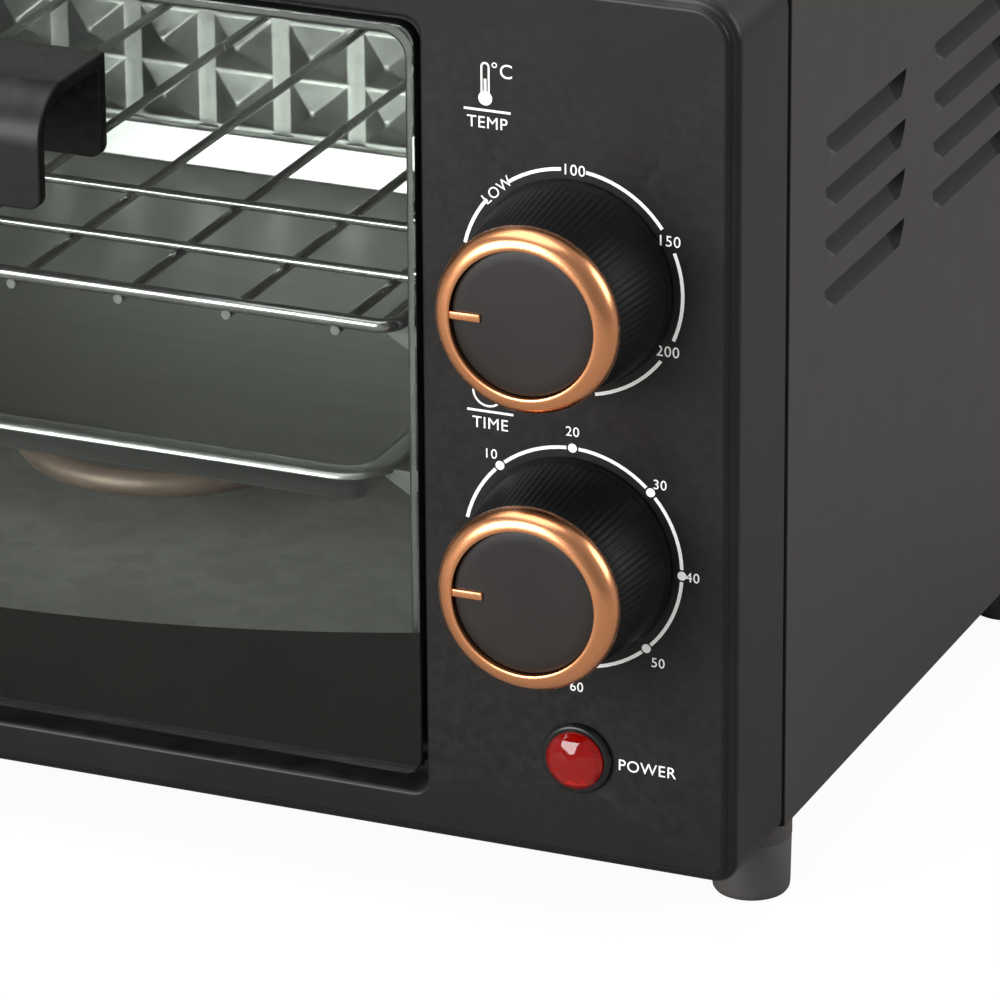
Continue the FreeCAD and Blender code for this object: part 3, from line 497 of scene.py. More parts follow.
FOOT_PLASTIC = Finish("foot_plastic", "foot_black", (0.072, 0.068, 0.065), (0.088, 0.083, 0.079),
                      0.5, 0.1, scale=1800.0, bump=0.15, dust=0.06)
RUBBER = Finish("bush_rubber", "rubber_black", (0.012, 0.012, 0.012), (0.020, 0.020, 0.019), 0.75, 0.12,
                scale=1500.0, bump=0.3)
PHENOLIC = Finish("phenolic_moulding", "phenolic", (0.045, 0.028, 0.02), (0.07, 0.045, 0.03), 0.5, 0.1,
                  scale=1400.0, bump=0.2)
SLEEVE = Finish("glass_sleeving", "lead_sleeve", (0.62, 0.60, 0.56), (0.76, 0.74, 0.70), 0.8, 0.1,
                scale=2400.0, bump=0.5)
# Painted light: the white print glows faintly, making up for the knobs' shade on it.
PRINT_WHITE_GLOW = Finish("white_print_painted_glow", "enamel_black", (0.80, 0.80, 0.79), (0.90, 0.90, 0.89), 0.55, 0.08,
                     scale=3000.0, bump=0.05, glow=0.22)
PRINT_BLACK = Finish("black_glass_print", "enamel_black", (0.0042, 0.0036, 0.0032),
                     (0.0062, 0.0054, 0.0048), 0.5, 0.06, specular=0.03, scale=1800.0, bump=0.03)
BEZEL = Finish("satin_bezel_plastic", "handle_black", (0.006, 0.006, 0.006), (0.010, 0.010, 0.010), 0.27,
               0.04, specular=0.35, scale=1200.0, bump=0.04)
GLASS = ClearFinish("toughened_glass", "glass", (0.80, 0.84, 0.82), 0.0, 1.25, shadow=(0.82, 0.86, 0.84))
# Painted shade: opaque near-black on the pane's edge faces, standing in for the dark look of the edge and
# its gap.
PANE_EDGE_SHADE = Finish("pane_edge_painted_shade", "glass", (0.010, 0.012, 0.011), (0.016, 0.018, 0.017), 0.4, 0.05,
                   specular=0.2, scale=2200.0, bump=0.1)
GEM = ClearFinish("red_gem_plastic", "red_gem", (0.62, 0.014, 0.008), 0.05, 1.49, glow=0.05,
                  shadow=(0.5, 0.05, 0.04), passes=0.85)
BULB = ClearFinish("bulb_glass", "bulb_glass", (0.95, 0.9, 0.85), 0.02)


def copper(centre: Vector, label: str) -> Finish:
    """Satin copper plate whose turning lines run round one knob.

    Args:
        centre: A point on the knob's axis, in millimetres.
        label: Name of the knob.

    Returns:
        The finish.
    """
    return Finish(f"{label}_copper_plate", "copper_plate", (0.78, 0.335, 0.155), (0.83, 0.375, 0.18), 0.27,
                  0.02, metallic=1.0, lay=Lay.SPUN, scale=2400.0, bump=0.03,
                  centre=tuple(centre * MM), anisotropy=0.3)


# Mesh work --------------------------------------------------------------------------------


@dataclass(frozen=True)
class RoundRect:
    """Round-cornered rectangle, standing in XZ or lying in XY."""

    centre: tuple[float, float]
    half: tuple[float, float]
    radius: float
    standing: bool = True
    segments: int = 8
    low_radius: float = 0.0
    far_share: float = 1.0

    @classmethod
    def between(cls, across: tuple[float, float], up: tuple[float, float], radius: float,
                standing: bool = True, segments: int = 8, low_radius: float = 0.0) -> "RoundRect":
        """Rectangle from its limits along its two directions."""
        centre = ((across[0] + across[1]) / 2, (up[0] + up[1]) / 2)
        half = ((across[1] - across[0]) / 2, (up[1] - up[0]) / 2)
        return cls(centre, half, radius, standing, segments, low_radius or radius)

    def grown(self, amount: float) -> "RoundRect":
        """The same rectangle pushed out on every side."""
        half = (self.half[0] + amount, self.half[1] + amount)
        return RoundRect(self.centre, half, max(self.radius + amount, 0.3), self.standing,
                         self.segments, max(self.low_radius + amount, 0.3))

    def flat(self, co: Vector) -> Vector:
        """Coordinates of a point in the rectangle's own plane."""
        return Vector((co.x, co.z if self.standing else co.y))

    def lift(self, spot: Vector, level: float) -> Vector:
        """Point of the part's frame from plane coordinates and a level."""
        return Vector((spot.x, level, spot.y)) if self.standing else Vector((spot.x, spot.y, level))

    def moved(self, spot: Vector, old: float, new: float) -> Vector:
        """Shift an outline point from one inset to another, keeping corners round.

        Args:
            spot: Point on the outline at the old inset.
            old: Inset that the point has.
            new: Inset that it gets.

        Returns:
            The new point, in the plane.
        """
        result = []
        far = spot.y > self.centre[1]
        if far:
            spot = spot - Vector((0.0, (1.0 - self.far_share) * old))
        corner = self.radius if far else self.low_radius
        before, after = max(corner - old, 0.3), max(corner - new, 0.3)
        for k in range(2):
            side = 1.0 if spot[k] > self.centre[k] else -1.0
            hub_old = self.centre[k] + side * (self.half[k] - old - before)
            hub_new = self.centre[k] + side * (self.half[k] - new - after)
            result.append(hub_new + (spot[k] - hub_old) / before * after)
        if far:
            result[1] += (1.0 - self.far_share) * new
        return Vector(result)

    def draw(self, bm: BMesh, level: float) -> list[bmesh.types.BMEdge]:
        """Draw the outline as edges.

        Args:
            bm: Mesh that gets the edges.
            level: Place along the plane's normal.

        Returns:
            The closed loop of edges.
        """
        grid = bmesh.ops.create_grid(bm, x_segments=1, y_segments=1, size=1.0)["verts"]
        bmesh.ops.scale(bm, vec=(self.half[0], self.half[1], 1.0), verts=grid)
        for corner, upper in ((self.radius, True), (self.low_radius, False)):
            ends = [vert for vert in grid if vert.is_valid and (vert.co.y > 0) == upper]
            rounded = bmesh.ops.bevel(bm, geom=ends, offset=corner, offset_type="OFFSET",
                                      segments=self.segments, profile=0.5, affect="VERTICES",
                                      material=-1)
        face = rounded["verts"][0].link_faces[0]
        edges = list(face.edges)
        for vert in list(face.verts):
            spot = Vector((vert.co.x + self.centre[0], vert.co.y + self.centre[1]))
            vert.co = self.lift(spot, level)
        bmesh.ops.delete(bm, geom=[face], context="FACES_ONLY")
        return edges


def extrude(bm: BMesh, edges: list[bmesh.types.BMEdge]
            ) -> tuple[list[bmesh.types.BMEdge], list[bmesh.types.BMVert]]:
    """Extrude edges in place, ready for their new vertices to be moved.

    Args:
        bm: Mesh to work on.
        edges: Edges to extrude.

    Returns:
        The new edges and the new vertices.
    """
    made = bmesh.ops.extrude_edge_only(bm, edges=edges)["geom"]
    return ([item for item in made if isinstance(item, bmesh.types.BMEdge)],
            [item for item in made if isinstance(item, bmesh.types.BMVert)])


def absorb(bm: BMesh, part: BMesh) -> None:
    """Move a part's mesh into another mesh and drop the part.

    Args:
        bm: Mesh that takes the part in.
        part: Mesh to move, freed here.
    """
    mesh = bpy.data.meshes.new("part")
    part.to_mesh(mesh)
    part.free()
    bm.from_mesh(mesh)
    bpy.data.meshes.remove(mesh)


def sweep(bm: BMesh, rect: RoundRect, edges: list[bmesh.types.BMEdge], start: float,
          steps: Profile) -> list[bmesh.types.BMEdge]:
    """Extrude an outline through a section.

    Args:
        bm: The mesh.
        rect: The rectangle that insets are measured from.
        edges: Loop to start from.
        start: Inset of that loop.
        steps: Inset and level of each further loop.

    Returns:
        The last loop of edges.
    """
    old = start
    for inset, level in steps:
        edges, verts = extrude(bm, edges)
        for vert in verts:
            vert.co = rect.lift(rect.moved(rect.flat(vert.co), old, inset), level)
        old = inset
    return edges


def circle_edges(bm: BMesh, centre: Vector, radius: float, segments: int = 24) -> list[bmesh.types.BMEdge]:
    """Circle of edges standing in XZ about a point."""
    place = Matrix.Translation(centre) @ Matrix.Rotation(math.pi / 2, 4, "X")
    verts = bmesh.ops.create_circle(bm, segments=segments, radius=radius, matrix=place)["verts"]
    return list({edge for vert in verts for edge in vert.link_edges})


def fill_flat(bm: BMesh, edges: list[bmesh.types.BMEdge], normal: Axis = Axis.Y) -> None:
    """Fill a flat region that has holes."""
    bmesh.ops.triangle_fill(bm, use_beauty=True, use_dissolve=False, edges=edges, normal=normal.value)


def chain(bm: BMesh, points: Iterable[Vector]) -> list[object]:
    """Open chain of edges through a few points, as geometry to spin or extrude."""
    verts = [bm.verts.new(point) for point in points]
    edges = [bm.edges.new(pair) for pair in zip(verts, verts[1:])]
    return verts + edges


def turn(bm: BMesh, profile: Profile, centre: Vector, axis: Axis, steps: int = 64) -> None:
    """Spin a section all the way round an axis.

    Args:
        bm: The mesh.
        profile: Radius and place along the axis of each point.
        centre: A point on the axis; places along the axis are added to it.
        axis: Direction of the axis, Y or Z.
        steps: Faces round the turn.
    """
    along = Vector(axis.value)
    points = [centre + Vector((radius, 0.0, 0.0)) + along * level for radius, level in profile]
    geometry = chain(bm, points)
    bmesh.ops.spin(bm, geom=geometry, cent=centre, axis=axis.value, dvec=(0.0, 0.0, 0.0),
                   angle=2 * math.pi, steps=steps, use_merge=True, use_duplicate=False)
    bmesh.ops.remove_doubles(bm, verts=bm.verts, dist=1e-4)


def soften(bm: BMesh, width: float, segments: int = 3, angle: float = 40.0) -> None:
    """Round the edges that are sharper than an angle.

    Args:
        bm: The mesh.
        width: Offset of the rounding.
        segments: Faces across it.
        angle: Least angle between an edge's faces, in degrees.
    """
    bm.normal_update()
    sharp = [edge for edge in bm.edges if len(edge.link_faces) == 2
             and edge.calc_face_angle() > math.radians(angle)]
    if sharp:
        bmesh.ops.bevel(bm, geom=sharp, offset=width, offset_type="OFFSET", segments=segments,
                        profile=0.5, affect="EDGES", clamp_overlap=True, material=-1)


def block(bm: BMesh, low: Sequence[float], high: Sequence[float]) -> list[bmesh.types.BMVert]:
    """Box between two corners."""
    size = Vector(high) - Vector(low)
    place = Matrix.Translation((Vector(high) + Vector(low)) / 2) @ Matrix.Diagonal((*size, 1.0))
    return bmesh.ops.create_cube(bm, size=1.0, matrix=place)["verts"]


def rod(bm: BMesh, start: Vector, end: Vector, radius: float, sides: int = 20,
        taper: float = 1.0) -> list[bmesh.types.BMVert]:
    """Closed cylinder from one point to another."""
    run = end - start
    place = Matrix.Translation((start + end) / 2) @ run.to_track_quat("Z", "Y").to_matrix().to_4x4()
    return bmesh.ops.create_cone(bm, cap_ends=True, cap_tris=False, segments=sides, radius1=radius,
                                 radius2=radius * taper, depth=run.length, matrix=place)["verts"]


def wires(paths: Sequence[tuple[Sequence[Vector], float, bool]], sides: int = 3) -> BMesh:
    """Round wires along paths.

    Args:
        paths: Points, radius and whether the path closes, for each wire.
        sides: Bevel resolution of the section.

    Returns:
        Their mesh.
    """
    result = bmesh.new()
    for points, radius, closed in paths:
        curve = bpy.data.curves.new("wire_path", "CURVE")
        curve.dimensions = "3D"
        curve.bevel_depth = radius
        curve.bevel_resolution = sides
        curve.use_fill_caps = True
        spline = curve.splines.new("POLY")
        spline.points.add(len(points) - 1)
        for spot, point in zip(spline.points, points):
            spot.co = (*point, 1.0)
        spline.use_cyclic_u = closed
        holder = bpy.data.objects.new("wire_path", curve)
        mesh = bpy.data.meshes.new_from_object(holder)
        result.from_mesh(mesh)
        bpy.data.objects.remove(holder)
        bpy.data.curves.remove(curve)
        bpy.data.meshes.remove(mesh)
    bmesh.ops.remove_doubles(result, verts=result.verts, dist=1e-4)
    return result


def arc(centre: Vector, radius: float, start: float, end: float, steps: int, first: Axis,
        second: Axis) -> list[Vector]:
    """Points along an arc in the plane of two axes, angles in degrees."""
    across, up = Vector(first.value), Vector(second.value)
    angles = [math.radians(start + (end - start) * k / steps) for k in range(steps + 1)]
    return [centre + across * radius * math.cos(a) + up * radius * math.sin(a) for a in angles]


class Workshop:
    """Finishes meshes into pieces that ride on the oven's bodies."""

    def __init__(self, effects: Effects) -> None:
        """Keep the shared effects and start the count."""
        self.effects = effects
        self.count = 0

    def piece(self, bm: BMesh, name: str, body: str, finish: Finish | ClearFinish,
              stands_for: Sequence[str] = (), closed: bool = True, angle: float = 32.0,
              sheet: float = 0.0, flats: bool = False,
              extras: Sequence[Finish | ClearFinish] = ()) -> bpy.types.Object:
        """Turn a mesh in millimetres into a finished piece.

        Args:
            bm: The mesh, which is used up.
            name: Name of the piece.
            body: CAD body that it rides on.
            finish: Its finish.
            stands_for: CAD nodes that it replaces.
            closed: Whether normals can be worked out from a closed shape.
            angle: Faces that meet more sharply than this keep a crisp edge.
            sheet: Thickness of a wall given behind the surface, or 0.
            flats: Whether flat areas keep their shading flat up to the folds.
            extras: Finishes of the faces whose material number is 1 or more.

        Returns:
            The object.
        """
        if closed:
            bmesh.ops.recalc_face_normals(bm, faces=bm.faces)
        bmesh.ops.scale(bm, vec=(MM, MM, MM), verts=bm.verts)
        mesh = bpy.data.meshes.new(name)
        bm.to_mesh(mesh)
        bm.free()
        mesh.shade_smooth()
        mesh.set_sharp_from_angle(angle=math.radians(angle))
        mesh.materials.append(finish.material(self.effects))
        made = bpy.data.objects.new(name, mesh)
        bpy.context.scene.collection.objects.link(made)
        if sheet:
            wall = made.modifiers.new("sheet", "SOLIDIFY")
            wall.thickness = sheet * MM
            wall.offset = -1.0
            wall.use_even_offset = True
        if flats:
            normals = made.modifiers.new("flats", "WEIGHTED_NORMAL")
            normals.keep_sharp = True
            normals.weight = 100
        for extra in extras:
            mesh.materials.append(extra.material(self.effects))
        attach(made, body)
        if stands_for:
            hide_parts(*stands_for)
        self.count += 1
        LOG.info("%s: %d faces on %s", name, len(mesh.polygons), body)
        return made


# Housing ----------------------------------------------------------------------------------


@dataclass
class FrontFrame:
    """Pressed front with a stepped rim, the door's well and the control panel."""

    shop: Workshop
    sheet: float = 1.2
    corner: float = 10.0
    low_corner: float = 5.0
    well_corner: float = 3.5
    gap_side: float = 1.2
    gap_top: float = 1.6
    gap_bottom: float = 3.7
    well_depth: float = 12.0
    lip: float = 1.0
    ledge_margin: float = 3.4
    spindle_hole: float = 5.2
    lamp_hole: float = 6.0

    def build(self) -> None:
        """Make the frame as one skin with a sheet's thickness behind it."""
        box = Box.of("front_frame")
        door = Box.of("door_glass")
        front, rear = box.low.y, box.high.y
        rim = RoundRect.between((box.low.x, box.high.x), (box.low.z, box.high.z), self.corner,
                                segments=12, low_radius=self.low_corner)
        bm = bmesh.new()
        first = rim.draw(bm, rear)
        for vert in {vert for edge in first for vert in edge.verts}:
            vert.co = rim.lift(rim.moved(rim.flat(vert.co), 0.0, 0.35), rear)
        folds = [(0.1, rear - 0.15), (0.0, rear - 0.45), (0.0, front + 3.1), (0.06, front + 2.5),
                 (0.25, front + 2.0), (0.6, front + 1.6), (1.05, front + 1.4), (1.5, front + 1.3),
                 (1.8, front + 1.15), (1.95, front + 0.9), (2.05, front + 0.55), (2.3, front + 0.22),
                 (2.7, front + 0.04), (3.1, front)]
        outer = sweep(bm, rim, first, 0.35, folds)
        well = RoundRect.between((door.low.x - self.gap_side, door.high.x + self.gap_side),
                                 (door.low.z - self.gap_bottom, door.high.z + self.gap_top),
                                 self.well_corner, segments=6)
        ledge = mouth_outline(6).grown(self.ledge_margin)
        opening = well.grown(self.lip)
        mouth = opening.draw(bm, front)
        holes = [edge for z in dial_heights().values()
                 for edge in circle_edges(bm, Vector((dial_x(), front, z)), self.spindle_hole)]
        lamp = Box.of("lamp_lens").centre
        holes += circle_edges(bm, Vector((lamp.x, front, lamp.z)), self.lamp_hole)
        fill_flat(bm, outer + mouth + holes)
        floor = front + self.well_depth
        lip_steps = [(self.lip * math.sin(math.radians(22.5 * k)),
                      front + self.lip * (1 - math.cos(math.radians(22.5 * k)))) for k in range(1, 5)]
        inner = sweep(bm, opening, mouth, 0.0, lip_steps + [(self.lip, floor)])
        edge_loop = ledge.draw(bm, floor)
        fill_flat(bm, inner + edge_loop)
        sweep(bm, ledge, edge_loop, 0.0, [(0.0, floor + 0.4)])
        orient_skin(bm, Vector((box.centre.x, rear + 60.0, box.centre.z)))
        self.shop.piece(bm, "front_frame_pressing", "housing", ENAMEL, ["front_frame"], closed=False,
                        angle=50.0, sheet=self.sheet, flats=True)


def orient_skin(bm: BMesh, inside: Vector) -> None:
    """Make an open skin's faces agree and look away from a point behind it.

    Args:
        bm: The skin.
        inside: A point on the hidden side of the flattest, foremost face.
    """
    bmesh.ops.recalc_face_normals(bm, faces=bm.faces)
    bm.normal_update()
    largest = max(bm.faces, key=lambda face: face.calc_area())
    if largest.normal.dot(largest.calc_center_median() - inside) < 0:
        bmesh.ops.reverse_faces(bm, faces=bm.faces)


def mouth_outline(segments: int) -> RoundRect:
    """Outline of the cavity's opening, its corners in so many segments."""
    centre = Box.of("door_glass").centre.x
    return RoundRect.between((centre - MOUTH_HALF, centre + MOUTH_HALF), MOUTH_SPAN, 5.0,
                             segments=segments)


def handle_screw_xs() -> tuple[float, float]:
    """Sideways places of the two handle screws."""
    box = Box.of("handle_screws")
    return box.low.x + SCREW_HEAD, box.high.x - SCREW_HEAD


def dial_x() -> float:
    """Sideways place of both knobs' axes."""
    return Box.of("temp_shaft").centre.x


def dial_heights() -> dict[str, float]:
    """Height of each knob's axis by its name."""
    return {name: Box.of(f"{name}_shaft").centre.z for name in ("temp", "time")}


@dataclass
class Cover:
    """Folded sheet of both sides and the top, with louvres drawn into the sides."""

    shop: Workshop
    sheet: float = 1.0
    fold: float = 9.0
    starts: tuple[float, ...] = (-51.0, 16.0)
    length: float = 49.0
    height: float = 5.5
    top_z: float = 164.6
    pitch: float = 11.4
    rows: int = 4
    depth: float = 3.6
    draw: float = 3.2
    lit_share: float = 0.07
    dark_share: float = 0.92
    columns: int = 28
    ranks: int = 7
    groove: float = 4.8
    roll: tuple[tuple[float, float], ...] = ((0.12, 0.3), (0.5, 0.35), (1.2, 0.35), (2.2, 0.3),
                                             (2.6, 0.35), (2.6, 5.0))

    def pocket_point(self, s: float, t: float, y: float, z: float, side: float) -> Vector:
        """Point of a louvre's drawn pocket.

        Args:
            s: Place along the louvre, 0 to 1.
            t: Place up it, 0 at the fold to 1 at the cut edge.
            y: Where the louvre starts.
            z: Its middle height.
            side: X of the cover's side.

        Returns:
            The point.
        """
        pull = self.draw * (1 - t) ** 1.6
        along = y + pull + s * (self.length - 2 * pull)
        reach = min(s, 1 - s) * self.length
        end = min(reach / 4.2, 1.0)
        ease = math.sin(end * math.pi / 2) ** 0.8
        rise = math.sin(min(t * 1.12, 1.0) * math.pi / 2) ** 1.25
        return Vector((side - self.depth * ease * rise, along, z + (t - 0.5) * self.height))

    def pocket(self, bm: BMesh, y: float, z: float, side: float) -> list[bmesh.types.BMEdge]:
        """Draw one louvre and give the loop where the sheet meets it.

        Args:
            bm: The cover's mesh.
            y: Where the louvre starts.
            z: Its middle height.
            side: X of the cover's side.

        Returns:
            The edges round its window in the sheet.
        """
        grid = bmesh.ops.create_grid(bm, x_segments=self.columns, y_segments=self.ranks, size=0.5)["verts"]
        corners = {}
        # Painted shade: the flap takes the darker louvre paint and its rear end the near-black shade paint;
        # the front end keeps the cover's own paint and so reads lighter.
        for face in {face for vert in grid for face in vert.link_faces}:
            middle = face.calc_center_median().x + 0.5
            face.material_index = 0 if middle < self.lit_share else 2 if middle > self.dark_share else 1
        for vert in grid:
            s, t = vert.co.x + 0.5, vert.co.y + 0.5
            vert.co = self.pocket_point(s, t, y, z, side)
            if t > 0.999 and (s < 0.001 or s > 0.999):
                corners[round(s)] = vert
        members = set(grid)
        rim = [edge for vert in grid for edge in vert.link_edges
               if edge.is_boundary and all(v in members for v in edge.verts)]
        loop = {edge for edge in rim if all(abs(v.co.x - side) < 0.01 for v in edge.verts)}
        loop.add(bm.edges.new((corners[0], corners[1])))
        return list(loop)

    def build(self) -> None:
        """Make half of the cover, mirror it and give it its thickness."""
        box = Box.of("cover")
        frame_box = Box.of("front_frame")
        start, end = frame_box.high.y + self.groove, box.high.y - 0.1
        side, low, top = box.high.x, box.low.z, box.high.z
        fold_z = top - self.fold
        bm = bmesh.new()
        corners = [bm.verts.new((side, y, z)) for y, z in
                   ((start, low), (end, low), (end, fold_z), (start, fold_z))]
        rim = [bm.edges.new((corners[k], corners[(k + 1) % 4])) for k in range(4)]
        windows = []
        for y in self.starts:
            for row in range(self.rows):
                windows += self.pocket(bm, y, self.top_z - row * self.pitch, side)
        fill_flat(bm, rim + windows, Axis.X)
        upper = [rim[2], *rim[2].verts]
        swung = bmesh.ops.spin(bm, geom=upper, cent=(side - self.fold, 0.0, fold_z), axis=(0.0, 1.0, 0.0),
                               dvec=(0.0, 0.0, 0.0), angle=-math.pi / 2, steps=8, use_duplicate=False)
        last = [item for item in swung["geom_last"] if isinstance(item, bmesh.types.BMEdge)]
        for vert in extrude(bm, last)[1]:
            vert.co.x = 0.0
        bmesh.ops.mirror(bm, geom=bm.verts[:] + bm.edges[:] + bm.faces[:], axis="X", merge_dist=1e-3)
        hub = (side - self.fold, fold_z)
        self.roll_front(bm, start, hub)
        orient_skin(bm, Vector((0.0, 0.0, 0.0)))
        # Painted shade: the rolled front edge, down into the seam behind the frame, takes the near-black
        # shade paint.
        for face in bm.faces:
            if face.calc_center_median().y < start - 0.3:
                face.material_index = 2
        self.shop.piece(bm, "cover_shell", "housing", COVER_PAINT, ["cover"], closed=False, angle=26.0,
                        sheet=self.sheet, flats=True, extras=(FLAP_SHADE_PAINT, SHADE_BLACK_PAINT))

    def roll_front(self, bm: BMesh, start: float, hub: tuple[float, float]) -> None:
        """Turn the front edge in towards the seam behind the frame.

        Args:
            bm: The cover's mesh.
            start: Where the front edge is.
            hub: Centre of the right-hand top fold, as (x, z).
        """
        edges = [edge for edge in bm.edges if edge.is_boundary
                 and all(abs(v.co.y - start) < 1e-3 for v in edge.verts)]
        before = 0.0
        for drop, run in self.roll:
            edges, verts = extrude(bm, edges)
            for vert in verts:
                vert.co.y -= run
                reach = Vector((abs(vert.co.x) - hub[0], vert.co.z - hub[1]))
                inward = Vector((max(reach.x, 0.0), max(reach.y, 0.0))).normalized()
                vert.co.x -= math.copysign(inward.x * (drop - before), vert.co.x)
                vert.co.z -= inward.y * (drop - before)
            before = drop


@dataclass
class Feet:
    """Four moulded feet."""

    shop: Workshop
    well: float = 4.2

    def build(self) -> None:
        """Turn each foot about its own axis."""
        for end in ("front", "rear"):
            for side in ("left", "right"):
                node = f"foot_{end}_{side}"
                box = Box.of(node)
                centre = Vector((box.centre.x, box.centre.y, 0.0))
                radius, height = box.size.x / 2, box.high.z
                profile = [(0.0, 11.0), (self.well, 11.0), (self.well, 0.0), (radius - 1.5, 0.0),
                           (radius - 0.9, 0.15), (radius - 0.45, 0.8), (radius - 0.3, 1.8),
                           (radius - 0.1, height - 5.2), (radius - 0.25, height - 4.9),
                           (radius - 0.25, height - 4.5), (radius, height - 4.2), (radius, height),
                           (0.0, height)]
                bm = bmesh.new()
                turn(bm, profile, centre, Axis.Z, 48)
                self.shop.piece(bm, f"{node}_moulding", "housing", FOOT_PLASTIC, [node], angle=40.0)


@dataclass
class Screws:
    """Pan-head screws with cross recesses."""

    shop: Workshop

    def head(self, bm: BMesh, spot: Vector, radius: float, height: float, outward: Vector) -> None:
        """Add one head.

        Args:
            bm: The mesh.
            spot: Middle of the head's seat.
            radius: Radius of the head.
            height: Its height.
            outward: Direction that the head looks.
        """
        local = bmesh.new()
        profile = [(0.0, 0.0), (radius, 0.0), (radius, height * 0.35), (radius * 0.93, height * 0.68),
                   (radius * 0.75, height * 0.88), (radius * 0.62, height * 0.94)]
        geometry = chain(local, [Vector((r, 0.0, z)) for r, z in profile])
        bmesh.ops.spin(local, geom=geometry, cent=(0.0, 0.0, 0.0), axis=(0.0, 0.0, 1.0),
                       dvec=(0.0, 0.0, 0.0), angle=2 * math.pi, steps=24, use_merge=True,
                       use_duplicate=False)
        bmesh.ops.remove_doubles(local, verts=local.verts, dist=1e-4)
        rim = [edge for edge in local.edges if edge.is_boundary]
        arm, waist, level = radius * 0.5, radius * 0.13, height * 0.94
        cross = [(arm, -waist), (arm, waist), (waist, waist), (waist, arm), (-waist, arm),
                 (-waist, waist), (-arm, waist), (-arm, -waist), (-waist, -waist), (-waist, -arm),
                 (waist, -arm), (waist, -waist)]
        verts = [local.verts.new((x, y, level)) for x, y in cross]
        slot = [local.edges.new((verts[k], verts[(k + 1) % 12])) for k in range(12)]
        fill_flat(local, rim + slot, Axis.Z)
        walls, bottom = extrude(local, slot)
        bmesh.ops.scale(local, vec=(0.72, 0.72, 1.0), verts=bottom)
        bmesh.ops.translate(local, vec=(0.0, 0.0, -height * 0.6), verts=bottom)
        bmesh.ops.edgeloop_fill(local, edges=walls)
        bmesh.ops.recalc_face_normals(local, faces=local.faces)
        place = Matrix.Translation(spot) @ outward.to_track_quat("Z", "Y").to_matrix().to_4x4()
        bmesh.ops.transform(local, matrix=place, verts=local.verts)
        absorb(bm, local)

    def build(self) -> None:
        """Make the rear, foot and handle screws."""
        rear = Box.of("rear_panel")
        groups = {
            "rear_screws": ([Vector((x, rear.high.y, z)) for x, z in self.rear_places()],
                            3.2, 2.0, 1.5, 9.0, Vector((0.0, 1.0, 0.0)), "housing"),
            "foot_screws": ([Vector((f.centre.x, f.centre.y, 12.0)) for f in self.feet()],
                            3.7, 2.5, 2.0, 10.5, Vector((0.0, 0.0, -1.0)), "housing"),
            "handle_screws": (self.handle_places(), SCREW_HEAD, 2.0, 2.0, 12.8,
                              Vector((0.0, 1.0, 0.0)), "door"),
        }
        for node, (spots, radius, height, shank, length, outward, body) in groups.items():
            bm = bmesh.new()
            for spot in spots:
                self.head(bm, spot, radius, height, outward)
                rod(bm, spot + outward * 0.2, spot - outward * length, shank, 16)
            self.shop.piece(bm, f"{node}_cross_head", body, STEEL, [node], closed=False, angle=38.0)

    def feet(self) -> list[Box]:
        """Boxes of the four feet."""
        return [Box.of(f"foot_{end}_{side}") for end in ("front", "rear") for side in ("left", "right")]

    def rear_places(self) -> list[tuple[float, float]]:
        """Where the rear screws stand, as (x, z)."""
        heads = Box.of("rear_screws")
        side_x = heads.high.x - 3.2
        top_z = heads.high.z - 3.2
        low_z = heads.low.z + 3.2
        return [(s * side_x, z) for s in (-1, 1) for z in (low_z, low_z + 100.0)] + [
            (x, top_z) for x in (-110.0, 0.0, 110.0)]

    def handle_places(self) -> list[Vector]:
        """Where the handle screws' heads sit."""
        box = Box.of("handle_screws")
        return [Vector((x, box.high.y - 2.0, box.centre.z)) for x in handle_screw_xs()]


@dataclass
class CordGland:
    """Ribbed bush of the supply cord's inlet."""

    shop: Workshop
    bore: float = 3.6

    def build(self) -> None:
        """Turn the bush about its bore."""
        box = Box.of("cord_gland")
        rear = Box.of("rear_panel").high.y
        centre = Vector((box.centre.x, 0.0, box.centre.z))
        outer = box.size.x / 2
        profile = [(self.bore, box.low.y), (6.5, box.low.y), (6.5, rear), (outer, rear),
                   (outer, rear + 1.6), (outer - 0.5, rear + 2.2)]
        for k in range(3):
            y = rear + 2.8 + 1.6 * k
            reach = outer - 1.2 - 0.5 * k
            profile += [(reach - 0.7, y - 0.4), (reach, y), (reach, y + 0.6)]
        profile += [(outer - 3.2, box.high.y - 0.3), (outer - 3.8, box.high.y), (self.bore, box.high.y)]
        bm = bmesh.new()
        turn(bm, profile + profile[:1], centre, Axis.Y, 48)
        self.shop.piece(bm, "cord_gland_bush", "housing", RUBBER, ["cord_gland"], angle=40.0)


# Cavity -----------------------------------------------------------------------------------


